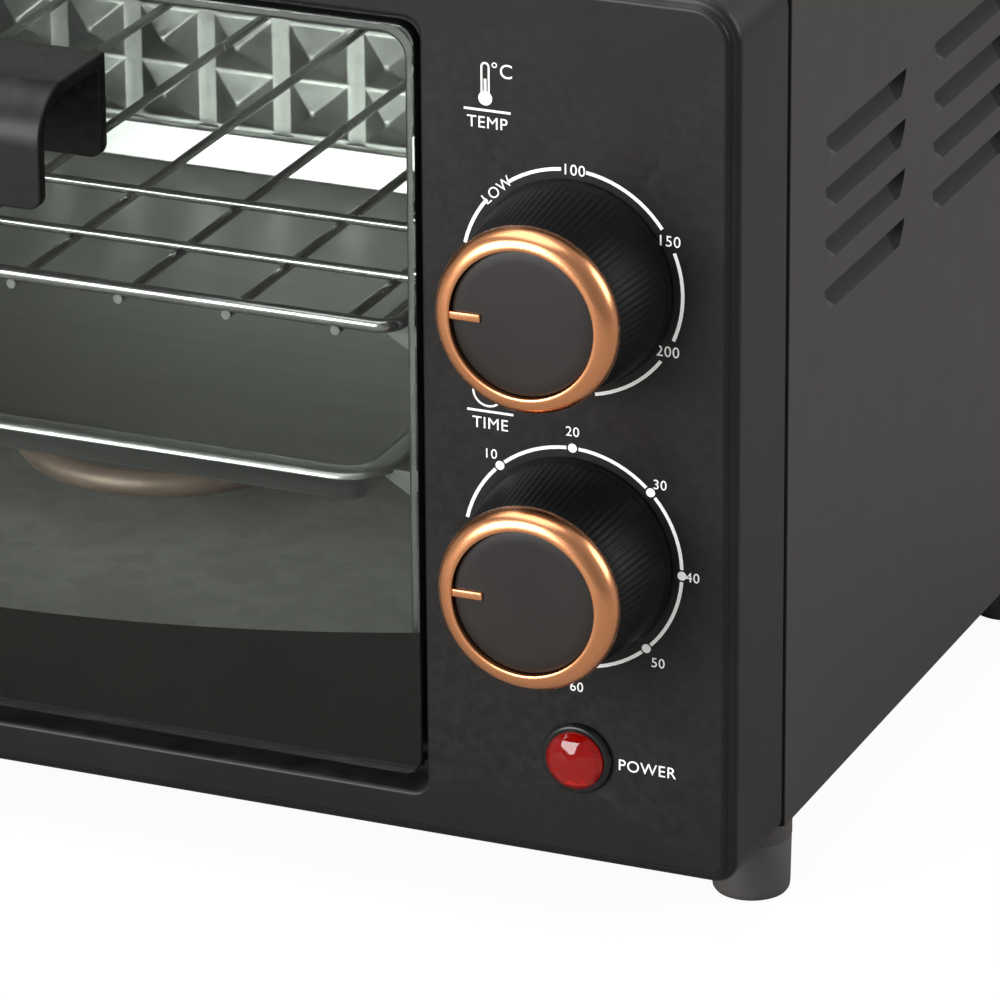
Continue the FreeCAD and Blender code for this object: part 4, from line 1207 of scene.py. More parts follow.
@dataclass
class Cavity:
    """Mouth ring, studded back wall and heaters."""

    shop: Workshop
    stud_pitch: tuple[float, float] = (19.6, 14.0)
    stud_half: tuple[float, float] = (7.5, 6.6)
    stud_counts: tuple[int, int] = (12, 9)
    stud_base: float = 52.5
    stud_rise: float = 4.3

    def build(self) -> None:
        """Make each piece."""
        self.mouth()
        self.back()
        for level in ("lower", "upper"):
            self.heater(level)

    def mouth(self) -> None:
        """Flat ring whose inner edge rolls back into the cavity."""
        box = Box.of("cavity_mouth")
        centre = Box.of("door_glass").centre.x
        opening = mouth_outline(8)
        bm = bmesh.new()
        rim = RoundRect.between((box.low.x, box.high.x), (box.low.z, box.high.z), 3.0, segments=4)
        outer = rim.draw(bm, box.low.y)
        outline = opening.grown(1.1)
        inner = outline.draw(bm, box.low.y)
        fill_flat(bm, outer + inner)
        sweep(bm, outline, inner, 0.0, [(0.45, box.low.y + 0.1), (0.85, box.low.y + 0.45),
                                        (1.05, box.low.y + 1.0), (1.1, box.low.y + 3.2)])
        orient_skin(bm, Vector((centre, box.high.y + 50.0, box.centre.z)))
        self.shop.piece(bm, "cavity_mouth_ring", "housing", DULL_ZINC, ["cavity_mouth"], closed=False,
                        angle=50.0, sheet=0.7, flats=True)

    def back(self) -> None:
        """Sheet pressed into rows of blunt pyramids."""
        box = Box.of("cavity_back")
        columns, rows = self.stud_counts
        level = box.low.y + self.stud_rise
        centre_x = Box.of("door_glass").centre.x
        centre_z = self.stud_base + rows * self.stud_pitch[1] / 2
        bm = bmesh.new()
        grid = bmesh.ops.create_grid(bm, x_segments=columns, y_segments=rows, size=1.0)["verts"]
        for vert in grid:
            vert.co = Vector((centre_x + vert.co.x * columns * self.stud_pitch[0] / 2, level,
                              centre_z + vert.co.y * rows * self.stud_pitch[1] / 2))
        cells = list(bm.faces)
        for half, drop in ((self.stud_half, 0.0), ((0.7, 0.7), -self.stud_rise)):
            bmesh.ops.inset_individual(bm, faces=cells, thickness=0.05, depth=0.0, use_even_offset=True)
            for face in cells:
                middle = face.calc_center_median()
                for vert in face.verts:
                    vert.co.x = middle.x + math.copysign(half[0], vert.co.x - middle.x)
                    vert.co.z = middle.z + math.copysign(half[1], vert.co.z - middle.z)
                    vert.co.y += drop
        margins = [(2, box.low.z), (2, box.high.z), (0, box.low.x), (0, box.high.x)]
        for axis, limit in margins:
            edges = [edge for edge in bm.edges if edge.is_boundary]
            extreme = (max if limit > box.centre[axis] else min)(v.co[axis] for e in edges for v in e.verts)
            edges = [e for e in edges if all(abs(v.co[axis] - extreme) < 1e-3 for v in e.verts)]
            for vert in extrude(bm, edges)[1]:
                vert.co[axis] = limit
        orient_skin(bm, Vector((centre_x, level + 50.0, centre_z)))
        soften(bm, 0.45, 2, 15.0)
        self.shop.piece(bm, "cavity_back_pressing", "housing", GALVANISED, ["cavity_back"], closed=False,
                        angle=28.0, sheet=0.8)

    def heater(self, level: str) -> None:
        """Sheathed element: two legs joined by a half turn, each with a swaged end.

        Args:
            level: lower or upper.
        """
        box = Box.of(f"{level}_heater")
        radius = box.size.z / 2
        z = box.centre.z
        bend = box.size.x / 2 - radius
        bend_y = box.low.y + radius + bend
        bend_centre = Vector((box.centre.x, bend_y, z))
        turn_points = arc(bend_centre, bend, 180.0, 360.0, 32, Axis.X, Axis.Y)
        path = [Vector((box.centre.x - bend, box.high.y, z)), *turn_points,
                Vector((box.centre.x + bend, box.high.y, z))]
        bm = wires([(path, radius, False)], 5)
        for side in (-1, 1):
            x = box.centre.x + side * bend
            rod(bm, Vector((x, box.high.y - 17.0, z)), Vector((x, box.high.y - 14.0, z)), radius + 0.45, 24)
        self.shop.piece(bm, f"{level}_heater_element", "housing", SHEATH, [f"{level}_heater"], angle=40.0)


@dataclass
class Rack:
    """Chromed wire rack."""

    shop: Workshop
    pitch: float = 25.4
    long_wires: int = 9
    cross_ys: tuple[float, ...] = (-64.0, -35.0)
    rim_radius: float = 1.6
    wire_radius: float = 1.1
    corner: float = 4.4

    def build(self) -> None:
        """Lay the rim, the long wires under its ends and the cross wires level with it."""
        box = Box.of("wire_rack")
        z = box.high.z - self.rim_radius
        x0, x1 = box.low.x + self.rim_radius, box.high.x - self.rim_radius
        y0, y1 = box.low.y + self.rim_radius, box.high.y - self.rim_radius
        rim = []
        for (x, y), start in (((x1, y1), 0.0), ((x0, y1), 90.0), ((x0, y0), 180.0), ((x1, y0), 270.0)):
            hub = Vector((x - math.copysign(self.corner, x - box.centre.x),
                          y - math.copysign(self.corner, y - box.centre.y), z))
            rim += arc(hub, self.corner, start, start + 90.0, 8, Axis.X, Axis.Y)
        paths = [(rim, self.rim_radius, True)]
        low = z - 2 * self.wire_radius + 0.05
        for column in range(self.long_wires):
            x = box.centre.x + (column - (self.long_wires - 1) / 2) * self.pitch
            paths.append(([Vector((x, y, low)) for y in
                           (y0 - 0.9, y0 - 0.4, y0 + 3.0, box.centre.y, y1 - 3.0, y1 + 0.9)],
                          self.wire_radius, False))
        for y in self.cross_ys:
            paths.append(([Vector((x0, y, z)), Vector((box.centre.x, y, z)), Vector((x1, y, z))],
                          self.wire_radius, False))
        bm = wires(paths, 3)
        self.shop.piece(bm, "wire_rack_grid", "rack", CHROME, ["wire_rack"], angle=50.0)


@dataclass
class Tray:
    """Drawn baking tray with a rolled rim and an embossed floor."""

    shop: Workshop
    corner: float = 12.0
    sheet: float = 0.6
    bead: float = 1.5
    rear_share: float = 0.55

    def build(self) -> None:
        """Sweep the outline from the rim down to the floor."""
        box = Box.of("baking_tray")
        rim_z, floor_z = box.high.z, box.low.z
        rect = RoundRect((box.centre.x, box.centre.y), (box.size.x / 2, box.size.y / 2), self.corner,
                         False, 10, self.corner, self.rear_share)
        bm = bmesh.new()
        start = rect.draw(bm, rim_z - self.bead)
        steps = [(self.bead * (1.0 - math.cos(math.radians(a))), rim_z - self.bead
                  + self.bead * math.sin(math.radians(a))) for a in (15, 30, 45, 60, 75, 90)]
        steps += [(4.6, rim_z), (5.2, rim_z - 0.15), (5.7, rim_z - 0.6), (8.2, floor_z + 1.4),
                 (8.7, floor_z + 0.85), (9.6, floor_z + 0.62), (13.0, floor_z + 0.6),
                 (13.6, floor_z + 0.75), (14.4, floor_z + 1.25), (15.2, floor_z + 1.4)]
        last = sweep(bm, rect, start, 0.0, steps)
        bmesh.ops.edgeloop_fill(bm, edges=last)
        orient_skin(bm, Vector((box.centre.x, box.centre.y, -100.0)))
        self.shop.piece(bm, "baking_tray_pressing", "tray", TRAY, ["baking_tray"], closed=False,
                        angle=35.0, sheet=self.sheet)


# Door -------------------------------------------------------------------------------------


@dataclass
class Door:
    """Pane, the print on it and the hook handle."""

    shop: Workshop
    wall: float = 3.0
    bend: float = 11.5
    lower_corner: float = 3.0
    crown: float = 6.7e-4
    band_top: float = 53.2
    print_depth: float = 0.06
    pane_corner: float = 4.5
    ground: float = 0.5
    screw_hole: float = 2.3

    def build(self) -> None:
        """Make the pane, the handle and the printed band."""
        self.pane()
        self.handle()
        self.printed_band()

    def pane(self) -> None:
        """Toughened pane with two screw holes, its ground edge faces painted near-black as painted shade.
        """
        box = Box.of("door_glass")
        screws = Box.of("handle_screws")
        front, rear = box.low.y, box.high.y
        outline = RoundRect.between((box.low.x, box.high.x), (box.low.z, box.high.z), self.pane_corner)
        bm = bmesh.new()
        edge = self.ground
        loop = outline.draw(bm, front)
        for vert in {vert for item in loop for vert in item.verts}:
            vert.co = outline.lift(outline.moved(outline.flat(vert.co), 0.0, edge), front)
        holes = [item for x in handle_screw_xs()
                 for item in circle_edges(bm, Vector((x, front, screws.centre.z)), self.screw_hole)]
        fill_flat(bm, loop + holes)
        last = sweep(bm, outline, loop, edge, [(edge * 0.3, front + edge * 0.3), (0.0, front + edge),
                                               (0.0, rear)])
        far_holes, verts = extrude(bm, holes)
        for vert in verts:
            vert.co.y = rear
        fill_flat(bm, last + far_holes)
        bm.normal_update()
        # Painted shade: every face but the two broad ones takes the near-black edge finish.
        for face in bm.faces:
            face.material_index = 0 if abs(face.normal.y) > 0.9 else 1
        self.shop.piece(bm, "door_pane", "door", GLASS, ["door_glass"], angle=8.0,
                        extras=(PANE_EDGE_SHADE,))

    def handle(self) -> None:
        """Bend a plate section into the hook and round its free corners."""
        box = Box.of("handle")
        wall, front, top = self.wall, box.low.y, box.high.z
        back = Box.of("door_glass").low.y
        flange_bottom = box.low.z + 2.0
        section = [(back, flange_bottom), (back, top), (front, top), (front, box.low.z),
                   (front + wall, box.low.z), (front + wall, top - wall), (back - wall, top - wall),
                   (back - wall, flange_bottom)]
        bm = bmesh.new()
        face = bm.faces.new([bm.verts.new((box.low.x, y, z)) for y, z in section])
        made = bmesh.ops.extrude_face_region(bm, geom=[face])["geom"]
        moved = [item for item in made if isinstance(item, bmesh.types.BMVert)]
        bmesh.ops.translate(bm, vec=(box.size.x, 0.0, 0.0), verts=moved)
        bmesh.ops.recalc_face_normals(bm, faces=bm.faces)

        def at(edge: bmesh.types.BMEdge, y: float, z: float) -> bool:
            """Whether a lengthwise edge runs at this place."""
            return all(abs(v.co.y - y) < 1e-3 and abs(v.co.z - z) < 1e-3 for v in edge.verts)

        for y, z, radius in ((front, top, self.bend), (front + wall, top - wall, self.bend - wall)):
            edges = [edge for edge in bm.edges if at(edge, y, z)]
            bmesh.ops.bevel(bm, geom=edges, offset=radius, offset_type="OFFSET", segments=14, profile=0.5,
                            affect="EDGES", material=-1)
        corners = [edge for edge in bm.edges
                   if abs(edge.verts[0].co.y - edge.verts[1].co.y) > wall - 0.1
                   and abs(edge.verts[0].co.x - edge.verts[1].co.x) < 1e-3
                   and all(v.co.z < flange_bottom + 0.1 for v in edge.verts)]
        bmesh.ops.bevel(bm, geom=corners, offset=self.lower_corner, offset_type="OFFSET", segments=6,
                        profile=0.5, affect="EDGES", material=-1)
        soften(bm, 0.55, 3, 50.0)
        screws = Box.of("handle_screws")
        for x in handle_screw_xs():
            rod(bm, Vector((x, back - wall + 0.5, screws.centre.z)),
                Vector((x, back - 9.0, screws.centre.z)), 4.5, 28, 0.93)
        self.shop.piece(bm, "hook_handle", "door", HANDLE_PLASTIC, ["handle"], angle=40.0, flats=True)

    def printed_band(self) -> None:
        """Thin black print behind the foot of the pane, its top edge a shallow bow."""
        box = Box.of("door_glass")
        centre = box.centre.x
        rear = box.high.y + 0.01
        bm = bmesh.new()
        columns = 48
        inset = 1.0
        grid = bmesh.ops.create_grid(bm, x_segments=columns, y_segments=1, size=1.0)["verts"]
        for vert in grid:
            x = centre + vert.co.x * (box.size.x / 2 - inset)
            top = self.band_top + self.crown * (x - centre) ** 2
            vert.co = Vector((x, rear, top if vert.co.y > 0 else box.low.z + inset))
        made = bmesh.ops.extrude_face_region(bm, geom=bm.faces[:])["geom"]
        moved = [item for item in made if isinstance(item, bmesh.types.BMVert)]
        bmesh.ops.translate(bm, vec=(0.0, self.print_depth, 0.0), verts=moved)
        self.shop.piece(bm, "door_printed_band", "door", PRINT_BLACK)


# Controls ---------------------------------------------------------------------------------


@dataclass
class Knob:
    """Ribbed knob with a copper ring, a pointer and a dark cap."""

    shop: Workshop
    name: str
    ribs: int = 88
    rib_depth: float = 0.09
    skirt: float = 22.4
    ring_inner: float = 15.9
    ring_round: float = 3.7
    pointer_end: float = 9.1
    pointer_half: float = 0.9

    def build(self) -> None:
        """Make the three pieces."""
        self.body_box = Box.of(f"{self.name}_knob")
        self.trim_box = Box.of(f"{self.name}_knob_trim")
        self.axis = Vector((self.body_box.centre.x, 0.0, self.body_box.centre.z))
        self.grip()
        self.ring()
        self.cap()

    def grip(self) -> None:
        """Ribbed tapering body on a plain skirt."""
        base, nose = self.body_box.high.y, self.body_box.low.y
        base_r = self.body_box.size.x / 2
        nose_r = base_r - 2.3
        profile = [(0.0, base + 0.6), (self.skirt, base + 0.6), (self.skirt, base - 0.2),
                   (self.skirt - 0.3, base - 0.6), (base_r + 0.3, base - 0.9), (base_r, base - 1.2)]
        profile += [(base_r + (nose_r - base_r) * k / 6, base - 1.6 + (nose - base + 2.6) * k / 6)
                    for k in range(7)]
        profile += [(nose_r, nose + 0.6), (nose_r - 0.25, nose + 0.1), (0.0, nose + 0.1)]
        bm = bmesh.new()
        turn(bm, profile, self.axis, Axis.Y, self.ribs * 4)
        for vert in bm.verts:
            inside = base - 1.5 > vert.co.y > nose + 0.8
            if inside:
                arm = Vector((vert.co.x - self.axis.x, vert.co.z - self.axis.z))
                angle = math.atan2(arm.y, arm.x)
                dent = self.rib_depth * (1.0 - abs(math.cos(angle * self.ribs / 2)))
                arm *= (arm.length - 2 * dent) / arm.length
                vert.co.x, vert.co.z = self.axis.x + arm.x, self.axis.z + arm.y
        self.shop.piece(bm, f"{self.name}_knob_grip", f"{self.name}_control", KNOB_PLASTIC,
                        [f"{self.name}_knob"], angle=55.0)

    def ring(self) -> None:
        """Rounded ring in one piece with its pointer."""
        back, front = self.trim_box.high.y, self.trim_box.low.y
        outer = self.trim_box.size.x / 2
        reach, lift = outer - self.ring_inner - 0.25, self.ring_round
        quarter = [math.radians(7.5 * k) for k in range(1, 13)]
        profile = [(self.ring_inner, back), (outer - 0.2, back), (outer, back - 0.25),
                   (outer, front + lift)]
        profile += [(outer - reach * (1.0 - math.cos(a)), front + lift * (1.0 - math.sin(a)))
                    for a in quarter]
        profile += [(self.ring_inner, front + 0.2), (self.ring_inner, back)]
        bm = bmesh.new()
        turn(bm, profile, self.axis, Axis.Y, 96)
        bar = bmesh.new()
        block(bar, (self.axis.x - self.ring_inner - 0.5, front + 0.45, self.axis.z - self.pointer_half),
              (self.axis.x - self.pointer_end, back - 0.9, self.axis.z + self.pointer_half))
        soften(bar, 0.35, 3)
        absorb(bm, bar)
        self.shop.piece(bm, f"{self.name}_knob_ring", f"{self.name}_control",
                        copper(self.axis, self.name), [f"{self.name}_knob_trim"], angle=50.0)

    def cap(self) -> None:
        """Slightly domed disc inside the ring."""
        back = self.trim_box.high.y
        front = Box.of(f"{self.name}_knob_face").low.y
        radius = self.ring_inner - 0.05
        rings = 7
        profile = [(radius, back), (radius, front + 0.9), (radius - 0.25, front + 0.45),
                   (radius - 0.8, front + 0.25)]
        profile += [((radius - 0.8) * (1 - k / rings), front + 0.25 * (1 - k / rings) ** 2)
                    for k in range(1, rings + 1)]
        bm = bmesh.new()
        turn(bm, profile + [(0.0, back), (radius, back)], self.axis, Axis.Y, 72)
        self.shop.piece(bm, f"{self.name}_knob_cap", f"{self.name}_control", FACE_PLASTIC,
                        [f"{self.name}_knob_face"], angle=40.0)


@dataclass
class Printing:
    """White marks printed on the control panel."""

    shop: Workshop
    thickness: float = 0.07
    letter: float = 2.3
    arc_radius: float = 24.5
    line: float = 0.75
    bm: BMesh = field(default_factory=bmesh.new)

    @property
    def face(self) -> float:
        """Y of the panel's front."""
        return Box.of("front_frame").low.y

    def take(self, mesh: bpy.types.Mesh, place: Matrix) -> None:
        """Add a mesh to the print at a place, then drop it."""
        mesh.transform(place)
        self.bm.from_mesh(mesh)
        bpy.data.meshes.remove(mesh)

    def letters(self, text: str, x: float, z: float, height: float, turn_deg: float = 0.0) -> None:
        """Set a word upright on the panel.

        Args:
            text: The word.
            x: Middle of the word.
            z: Middle of its height.
            height: Height of its capitals.
            turn_deg: Turn of the word, anticlockwise as the user sees it.
        """
        curve = bpy.data.curves.new("word", "FONT")
        curve.body = text
        curve.align_x = "CENTER"
        curve.size = height / 0.69
        curve.space_character = 1.08
        curve.extrude = self.thickness / 2
        holder = bpy.data.objects.new("word", curve)
        mesh = bpy.data.meshes.new_from_object(holder)
        bpy.data.objects.remove(holder)
        bpy.data.curves.remove(curve)
        place = (Matrix.Translation((x, self.face - self.thickness / 2, z))
                 @ Matrix.Rotation(math.pi / 2, 4, "X") @ Matrix.Rotation(math.radians(turn_deg), 4, "Z")
                 @ Matrix.Translation((0.0, -height / 2, 0.0)))
        self.take(mesh, place)

    def stroke(self, start: tuple[float, float], end: tuple[float, float], width: float) -> None:
        """Straight line between two points of the panel, as (x, z)."""
        run = Vector((end[0] - start[0], end[1] - start[1]))
        mesh = bpy.data.meshes.new("stroke")
        local = bmesh.new()
        half = run.length / 2
        block(local, (-half, -width / 2, -self.thickness / 2), (half, width / 2, self.thickness / 2))
        local.to_mesh(mesh)
        local.free()
        place = (Matrix.Translation(((start[0] + end[0]) / 2, self.face - self.thickness / 2,
                                     (start[1] + end[1]) / 2))
                 @ Matrix.Rotation(math.pi / 2, 4, "X") @ Matrix.Rotation(math.atan2(run.y, run.x), 4, "Z"))
        self.take(mesh, place)

    def dot(self, x: float, z: float, radius: float) -> None:
        """Round spot."""
        rod(self.bm, Vector((x, self.face, z)), Vector((x, self.face - self.thickness, z)), radius, 20)

    def arc_line(self, centre: tuple[float, float], radius: float, start: float, end: float,
                 width: float) -> None:
        """Band along an arc, angles in degrees from +X towards +Z.

        Args:
            centre: Centre as (x, z).
            radius: Middle radius of the band.
            start: Angle where it starts.
            end: Angle where it ends, less than start.
            width: Width of the band.
        """
        a = math.radians(start)
        corners = []
        for reach, y in ((radius - width / 2, self.face), (radius + width / 2, self.face),
                         (radius + width / 2, self.face - self.thickness),
                         (radius - width / 2, self.face - self.thickness)):
            corners.append(self.bm.verts.new((centre[0] + reach * math.cos(a), y,
                                              centre[1] + reach * math.sin(a))))
        face = self.bm.faces.new(corners)
        bmesh.ops.spin(self.bm, geom=[face], cent=(centre[0], self.face, centre[1]), axis=(0.0, 1.0, 0.0),
                       dvec=(0.0, 0.0, 0.0), angle=math.radians(start - end),
                       steps=max(int((start - end) / 4), 2), use_duplicate=False)

    def broken_arc(self, centre: tuple[float, float], start: float, end: float,
                   breaks: Sequence[tuple[float, float]]) -> None:
        """Dial arc that runs clockwise and stops at each mark.

        Args:
            centre: Centre as (x, z).
            start: First angle.
            end: Last angle.
            breaks: Angle and half width of each break.
        """
        at = start
        for angle, half in breaks:
            self.arc_line(centre, self.arc_radius, at, angle + half, self.line)
            at = angle - half
        if at > end:
            self.arc_line(centre, self.arc_radius, at, end, self.line)

    def finish_piece(self, name: str) -> None:
        """Close the print as one piece and start the next."""
        # The print's finish carries a faint painted glow.
        self.shop.piece(self.bm, name, "housing", PRINT_WHITE_GLOW, angle=30.0)
        self.bm = bmesh.new()

    def build(self) -> None:
        """Print both dials and the lamp's word."""
        heights = dial_heights()
        x = dial_x()
        self.temperature_dial(x, heights["temp"])
        self.time_dial(x, heights["time"])
        lamp = Box.of("lamp_lens").centre
        self.letters("POWER", lamp.x + 15.7, lamp.z - 0.1, 2.5)
        self.finish_piece("power_word_print")

    def temperature_dial(self, x: float, z: float) -> None:
        """Arc with its numbers set into breaks, and the heading."""
        marks = (("LOW", 133.0, 7.5, 43.0), ("100", 89.0, 6.5, 0.0), ("150", 29.0, 6.5, 0.0),
                 ("200", -30.0, 6.5, 0.0))
        self.broken_arc((x, z), 167.0, -78.0, [(angle, half) for _, angle, half, _ in marks])
        for text, angle, _, lean in marks:
            a = math.radians(angle)
            self.letters(text, x + self.arc_radius * math.cos(a), z + self.arc_radius * math.sin(a),
                         self.letter, lean)
        self.heading("TEMP", x - 18.7, z + 32.3)
        self.thermometer(x - 19.1, z + 39.3)
        self.letters("°C", x - 15.4, z + 43.8, 3.0)
        self.finish_piece("temp_dial_print")

    def time_dial(self, x: float, z: float) -> None:
        """Arc with a dot and a number at each ten minutes, and the heading."""
        marks = (("10", 132.0, 27.7), ("20", 90.0, 28.2), ("30", 44.5, 27.4), ("40", -1.0, 26.9),
                 ("50", -47.5, 28.4))
        self.broken_arc((x, z), 167.0, -80.0, [(angle, 3.2) for _, angle, _ in marks])
        for text, angle, reach in marks + (("60", -88.5, 29.3),):
            a = math.radians(angle)
            if text != "60":
                self.dot(x + self.arc_radius * math.cos(a), z + self.arc_radius * math.sin(a), 1.0)
            self.letters(text, x + reach * math.cos(a), z + reach * math.sin(a), 2.1)
        self.heading("TIME", x - 18.5, z + 27.3)
        self.clock(x - 18.9, z + 34.5)
        self.finish_piece("time_dial_print")

    def heading(self, text: str, x: float, z: float) -> None:
        """Word with a rule above it."""
        self.letters(text, x, z, 2.5)
        self.stroke((x - 5.2, z + 2.6), (x + 5.2, z + 2.6), 0.5)

    def thermometer(self, x: float, z: float) -> None:
        """Small thermometer: bulb, tube outline and column."""
        self.dot(x, z - 1.8, 1.55)
        for side in (-1, 1):
            self.stroke((x + side * 0.8, z - 0.8), (x + side * 0.8, z + 5.0), 0.4)
        self.arc_line((x, z + 5.0), 0.8, 180.0, 0.0, 0.4)
        self.stroke((x, z - 1.0), (x, z + 2.4), 0.6)

    def clock(self, x: float, z: float) -> None:
        """Small clock: ring and two hands."""
        self.arc_line((x, z), 3.4, 360.0, 0.0, 0.42)
        self.stroke((x, z), (x, z + 2.2), 0.42)
        self.stroke((x, z), (x + 1.5, z - 0.9), 0.42)


@dataclass
class Lamp:
    """Gem-cut lens in a glossy bezel."""

    shop: Workshop
    facets: int = 8

    def build(self) -> None:
        """Make the lens and the bezel."""
        lens = Box.of("lamp_lens")
        sleeve = Box.of("lamp_sleeve")
        self.lens(lens)
        self.bezel(sleeve, lens)

    def lens(self, box: Box) -> None:
        """Cut the gem as the hull of a few turned rings of points."""
        panel = Box.of("front_frame").low.y
        radius = (box.size.x) / 2
        centre = Vector((box.centre.x, 0.0, box.centre.z))
        bm = bmesh.new()
        rings = [(radius, panel - 1.6, 0.0, 3), (radius, panel - 2.2, 0.0, 3),
                 (radius * 0.84, panel - 3.6, 0.5, 1), (radius * 0.52, panel - 4.5, 0.0, 1),
                 (radius * 0.2, box.low.y, 0.5, 1)]
        for reach, y, shift, finer in rings:
            count = self.facets * finer
            place = (Matrix.Translation(centre + Vector((0.0, y, 0.0)))
                     @ Matrix.Rotation(math.pi / 2, 4, "X")
                     @ Matrix.Rotation(shift * 2 * math.pi / self.facets, 4, "Z"))
            bmesh.ops.create_circle(bm, segments=count, radius=reach, matrix=place)
        hull = bmesh.ops.convex_hull(bm, input=bm.verts)
        bmesh.ops.delete(bm, geom=[item for item in hull["geom_interior"] + hull["geom_unused"]
                                   if isinstance(item, bmesh.types.BMVert)], context="VERTS")
        loose = [edge for edge in bm.edges if not edge.link_faces]
        bmesh.ops.delete(bm, geom=loose, context="EDGES")
        rod(bm, centre + Vector((0.0, panel - 1.9, 0.0)), centre + Vector((0.0, box.high.y, 0.0)),
            radius - 1.45, 24)
        self.shop.piece(bm, "lamp_gem_lens", "housing", GEM, ["lamp_lens"], angle=8.0)

    def bezel(self, box: Box, lens: Box) -> None:
        """Ring that holds the lens, with its sleeve behind the panel."""
        panel = Box.of("front_frame").low.y
        centre = Vector((box.centre.x, 0.0, box.centre.z))
        outer = box.size.x / 2
        seat = lens.size.x / 2 - 1.4
        profile = [(seat, box.high.y), (seat + 0.95, box.high.y), (seat + 0.95, panel), (outer, panel),
                   (outer, panel - 0.5), (outer - 0.2, panel - 1.0), (outer - 0.55, panel - 1.4),
                   (outer - 1.0, panel - 1.55), (outer - 1.45, panel - 1.5), (seat, panel - 1.3),
                   (seat, box.high.y)]
        bm = bmesh.new()
        turn(bm, profile, centre, Axis.Y, 56)
        self.shop.piece(bm, "lamp_bezel", "housing", BEZEL, ["lamp_sleeve"], angle=40.0)


# Dressing and studio ----------------------------------------------------------------------

CAD_FINISHES: dict[str, Finish | ClearFinish] = {
    "rear_panel": COVER_PAINT, "bottom_plate": UNDERSIDE, "cavity_wall_left": WALL_ZINC,
    "cavity_wall_right": WALL_ZINC, "cavity_roof": GALVANISED, "cavity_floor": FLOOR_ZINC,
    "heater_bushes": CERAMIC, "heater_tabs": STEEL, "handle_washers": RUBBER,
    "hinge_bar": ENAMEL, "hinge_pin_left": STEEL, "hinge_pin_right": STEEL, "temp_shaft": STEEL,
    "time_shaft": STEEL, "thermostat": PHENOLIC, "timer": STEEL, "timer_bell": STEEL,
    "control_screws": STEEL, "lamp_bulb": BULB, "wiring": SLEEVE,
}


def dress_cad(shop: Workshop) -> None:
    """Give each CAD node that still shows its finish.

    Args:
        shop: The workshop, for its shared effects.
    """
    for node, finish in CAD_FINISHES.items():
        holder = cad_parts[node]
        for slot in holder.material_slots:
            slot.material = finish.material(shop.effects)
        LOG.info("%s: dressed", node)


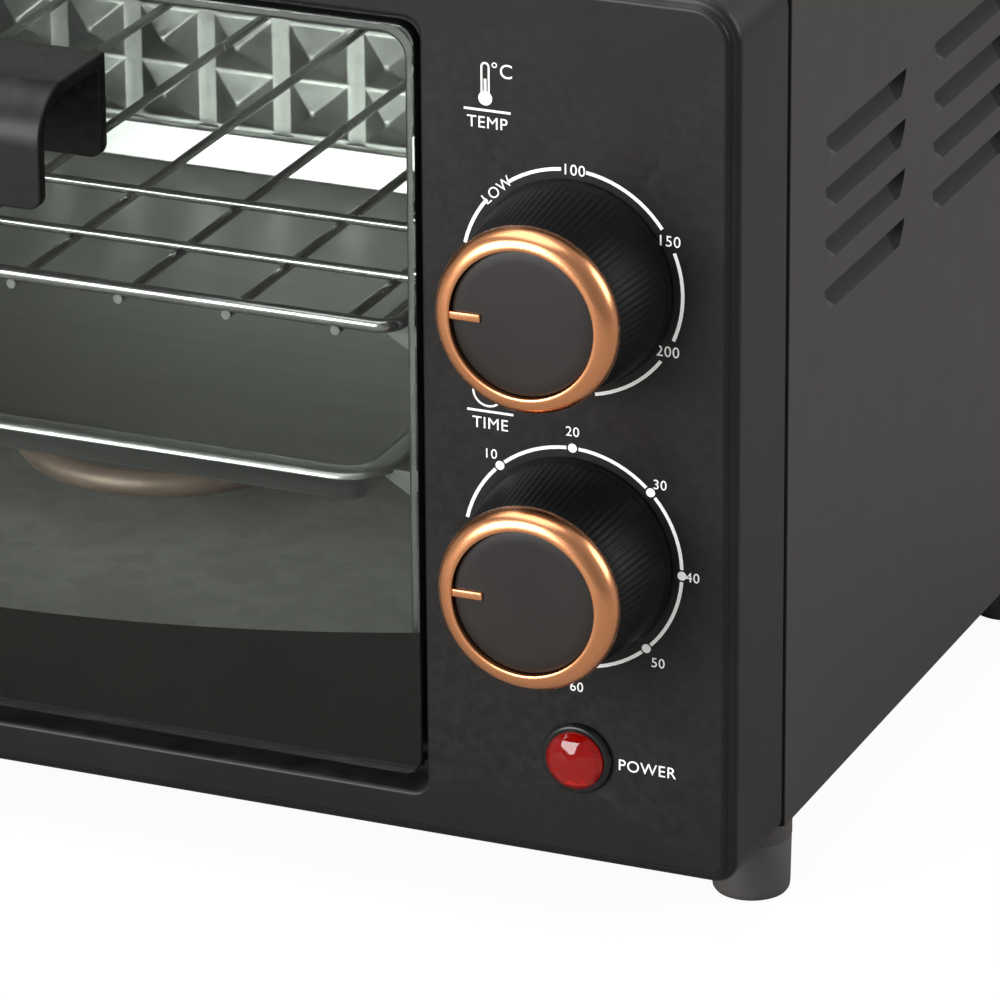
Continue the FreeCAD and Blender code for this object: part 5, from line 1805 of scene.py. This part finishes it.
@dataclass
class Studio:
    """White sweep, soft lights and the camera."""

    place: tuple[float, float, float] = (0.67614, -1.41530, 0.67356)
    azimuth: float = 23.0999
    elevation: float = 22.0041
    roll: float = -0.3968
    lens: float = 264.58
    world: float = 0.55
    floor_low: Colour = (0.33, 0.315, 0.30)
    floor_high: Colour = (0.36, 0.345, 0.33)

    def build(self) -> None:
        """Set the floor, the world, the lights and the camera."""
        self.floor()
        self.surround()
        self.light("overhead_softbox", (-0.25, -0.35, 1.5), (0.0, -0.02, 0.08), (1.5, 1.1), 15.0)
        self.light("right_softbox", (1.7, 0.75, 0.9), (0.1, 0.0, 0.1), (1.2, 1.0), 18.0)
        self.light("front_fill", (-0.55, -1.35, 0.50), (0.0, 0.0, 0.1), (1.0, 0.7), 25.0)
        self.light("cavity_fill", (-0.026, 0.052, 0.192), (-0.026, 0.10, 0.10), (0.16, 0.05), 0.035, False)
        self.light("lower_cavity_fill", (-0.026, -0.005, 0.083), (-0.026, 0.0, 0.0), (0.2, 0.15), 0.04,
                   False)
        self.camera()
        bpy.context.scene.view_settings.view_transform = "Standard"

    def floor(self) -> None:
        """Large pale floor."""
        bm = bmesh.new()
        bmesh.ops.create_grid(bm, x_segments=2, y_segments=2, size=9.0)
        mesh = bpy.data.meshes.new("studio_floor")
        bm.to_mesh(mesh)
        bm.free()
        made, graph = blank_material("studio_floor")
        place = graph.node("TexCoord").outputs["Object"]
        drift = graph.node("TexNoise", {"Vector": place, "Scale": 3.0, "Detail": 3.0})
        tone = graph.node("Mix", {0: drift.outputs["Fac"], 6: (*self.floor_low, 1.0),
                                  7: (*self.floor_high, 1.0)}, data_type="RGBA")
        bounce = graph.node("BsdfPrincipled", {"Base Color": tone.outputs[2], "Roughness": 0.9})
        glow = graph.node("Emission", {"Color": (1.0, 1.0, 1.0, 1.0), "Strength": 1.03})
        soft = graph.node("BsdfDiffuse", {"Color": (0.9, 0.9, 0.9, 1.0)})
        seen = graph.node("MixShader", {0: 0.08, 1: glow.outputs[0], 2: soft.outputs[0]})
        direct = graph.node("LightPath").outputs["Is Camera Ray"]
        shader = graph.node("MixShader", {0: direct, 1: bounce.outputs[0], 2: seen.outputs[0]})
        graph.node("OutputMaterial", {"Surface": shader.outputs[0]})
        mesh.materials.append(made)
        holder = bpy.data.objects.new("studio_floor", mesh)
        bpy.context.scene.collection.objects.link(holder)

    def surround(self) -> None:
        """Even grey surround that darkens towards the user's side."""
        world = bpy.data.worlds.new("studio")
        world.use_nodes = True
        world.node_tree.nodes.clear()
        graph = Graph(world.node_tree)
        split = graph.node("SeparateXYZ", {0: graph.node("TexCoord").outputs["Generated"]})
        depth = graph.node("MapRange", {"Value": split.outputs[1], "From Min": -0.8, "From Max": 0.6,
                                        "To Min": 0.45, "To Max": 1.0})
        tone = graph.node("CombineColor", {0: depth.outputs[0], 1: depth.outputs[0], 2: depth.outputs[0]})
        back = graph.node("Background", {"Color": tone.outputs[0], "Strength": self.world})
        graph.node("OutputWorld", {"Surface": back.outputs[0]})
        bpy.context.scene.world = world

    def light(self, name: str, place: Sequence[float], target: Sequence[float],
              size: tuple[float, float], power: float, mirrored: bool = True) -> None:
        """Add one soft rectangular light.

        Args:
            name: Name of the light.
            place: Where it stands.
            target: What it looks at.
            size: Width and height.
            power: Watts.
            mirrored: Whether glossy surfaces show it.
        """
        data = bpy.data.lights.new(name, "AREA")
        data.shape = "RECTANGLE"
        data.size, data.size_y = size
        data.energy = power
        holder = bpy.data.objects.new(name, data)
        holder.location = place
        aim = Vector(target) - Vector(place)
        holder.rotation_mode = "QUATERNION"
        holder.rotation_quaternion = aim.to_track_quat("-Z", "Y")
        holder.visible_camera = False
        holder.visible_glossy = mirrored
        bpy.context.scene.collection.objects.link(holder)

    def camera(self) -> None:
        """Place the camera from its angles."""
        a, e, roll = (math.radians(v) for v in (self.azimuth, self.elevation, self.roll))
        back = Vector((math.sin(a) * math.cos(e), -math.cos(a) * math.cos(e), math.sin(e)))
        right = Vector((math.cos(a), math.sin(a), 0.0))
        up = back.cross(right)
        right_rolled = right * math.cos(roll) + up * math.sin(roll)
        up_rolled = up * math.cos(roll) - right * math.sin(roll)
        turn_matrix = Matrix((right_rolled, up_rolled, back)).transposed()
        data = bpy.data.cameras.new("camera")
        data.lens = self.lens
        data.sensor_width = 36.0
        data.clip_start, data.clip_end = 0.05, 30.0
        holder = bpy.data.objects.new("camera", data)
        holder.matrix_world = Matrix.Translation(self.place) @ turn_matrix.to_4x4()
        bpy.context.scene.collection.objects.link(holder)
        bpy.context.scene.camera = holder


def main() -> None:
    """Build every sub-assembly in order."""
    logging.basicConfig(level=logging.INFO, format="%(name)s %(message)s")
    shop = Workshop(Effects())
    FrontFrame(shop).build()
    Cover(shop).build()
    Feet(shop).build()
    Screws(shop).build()
    CordGland(shop).build()
    Cavity(shop).build()
    Rack(shop).build()
    Tray(shop).build()
    Door(shop).build()
    for name in dial_heights():
        Knob(shop, name).build()
    Printing(shop).build()
    Lamp(shop).build()
    dress_cad(shop)
    Studio().build()
    LOG.info("%d pieces built", shop.count)


if __name__ == "__main__":
    main()
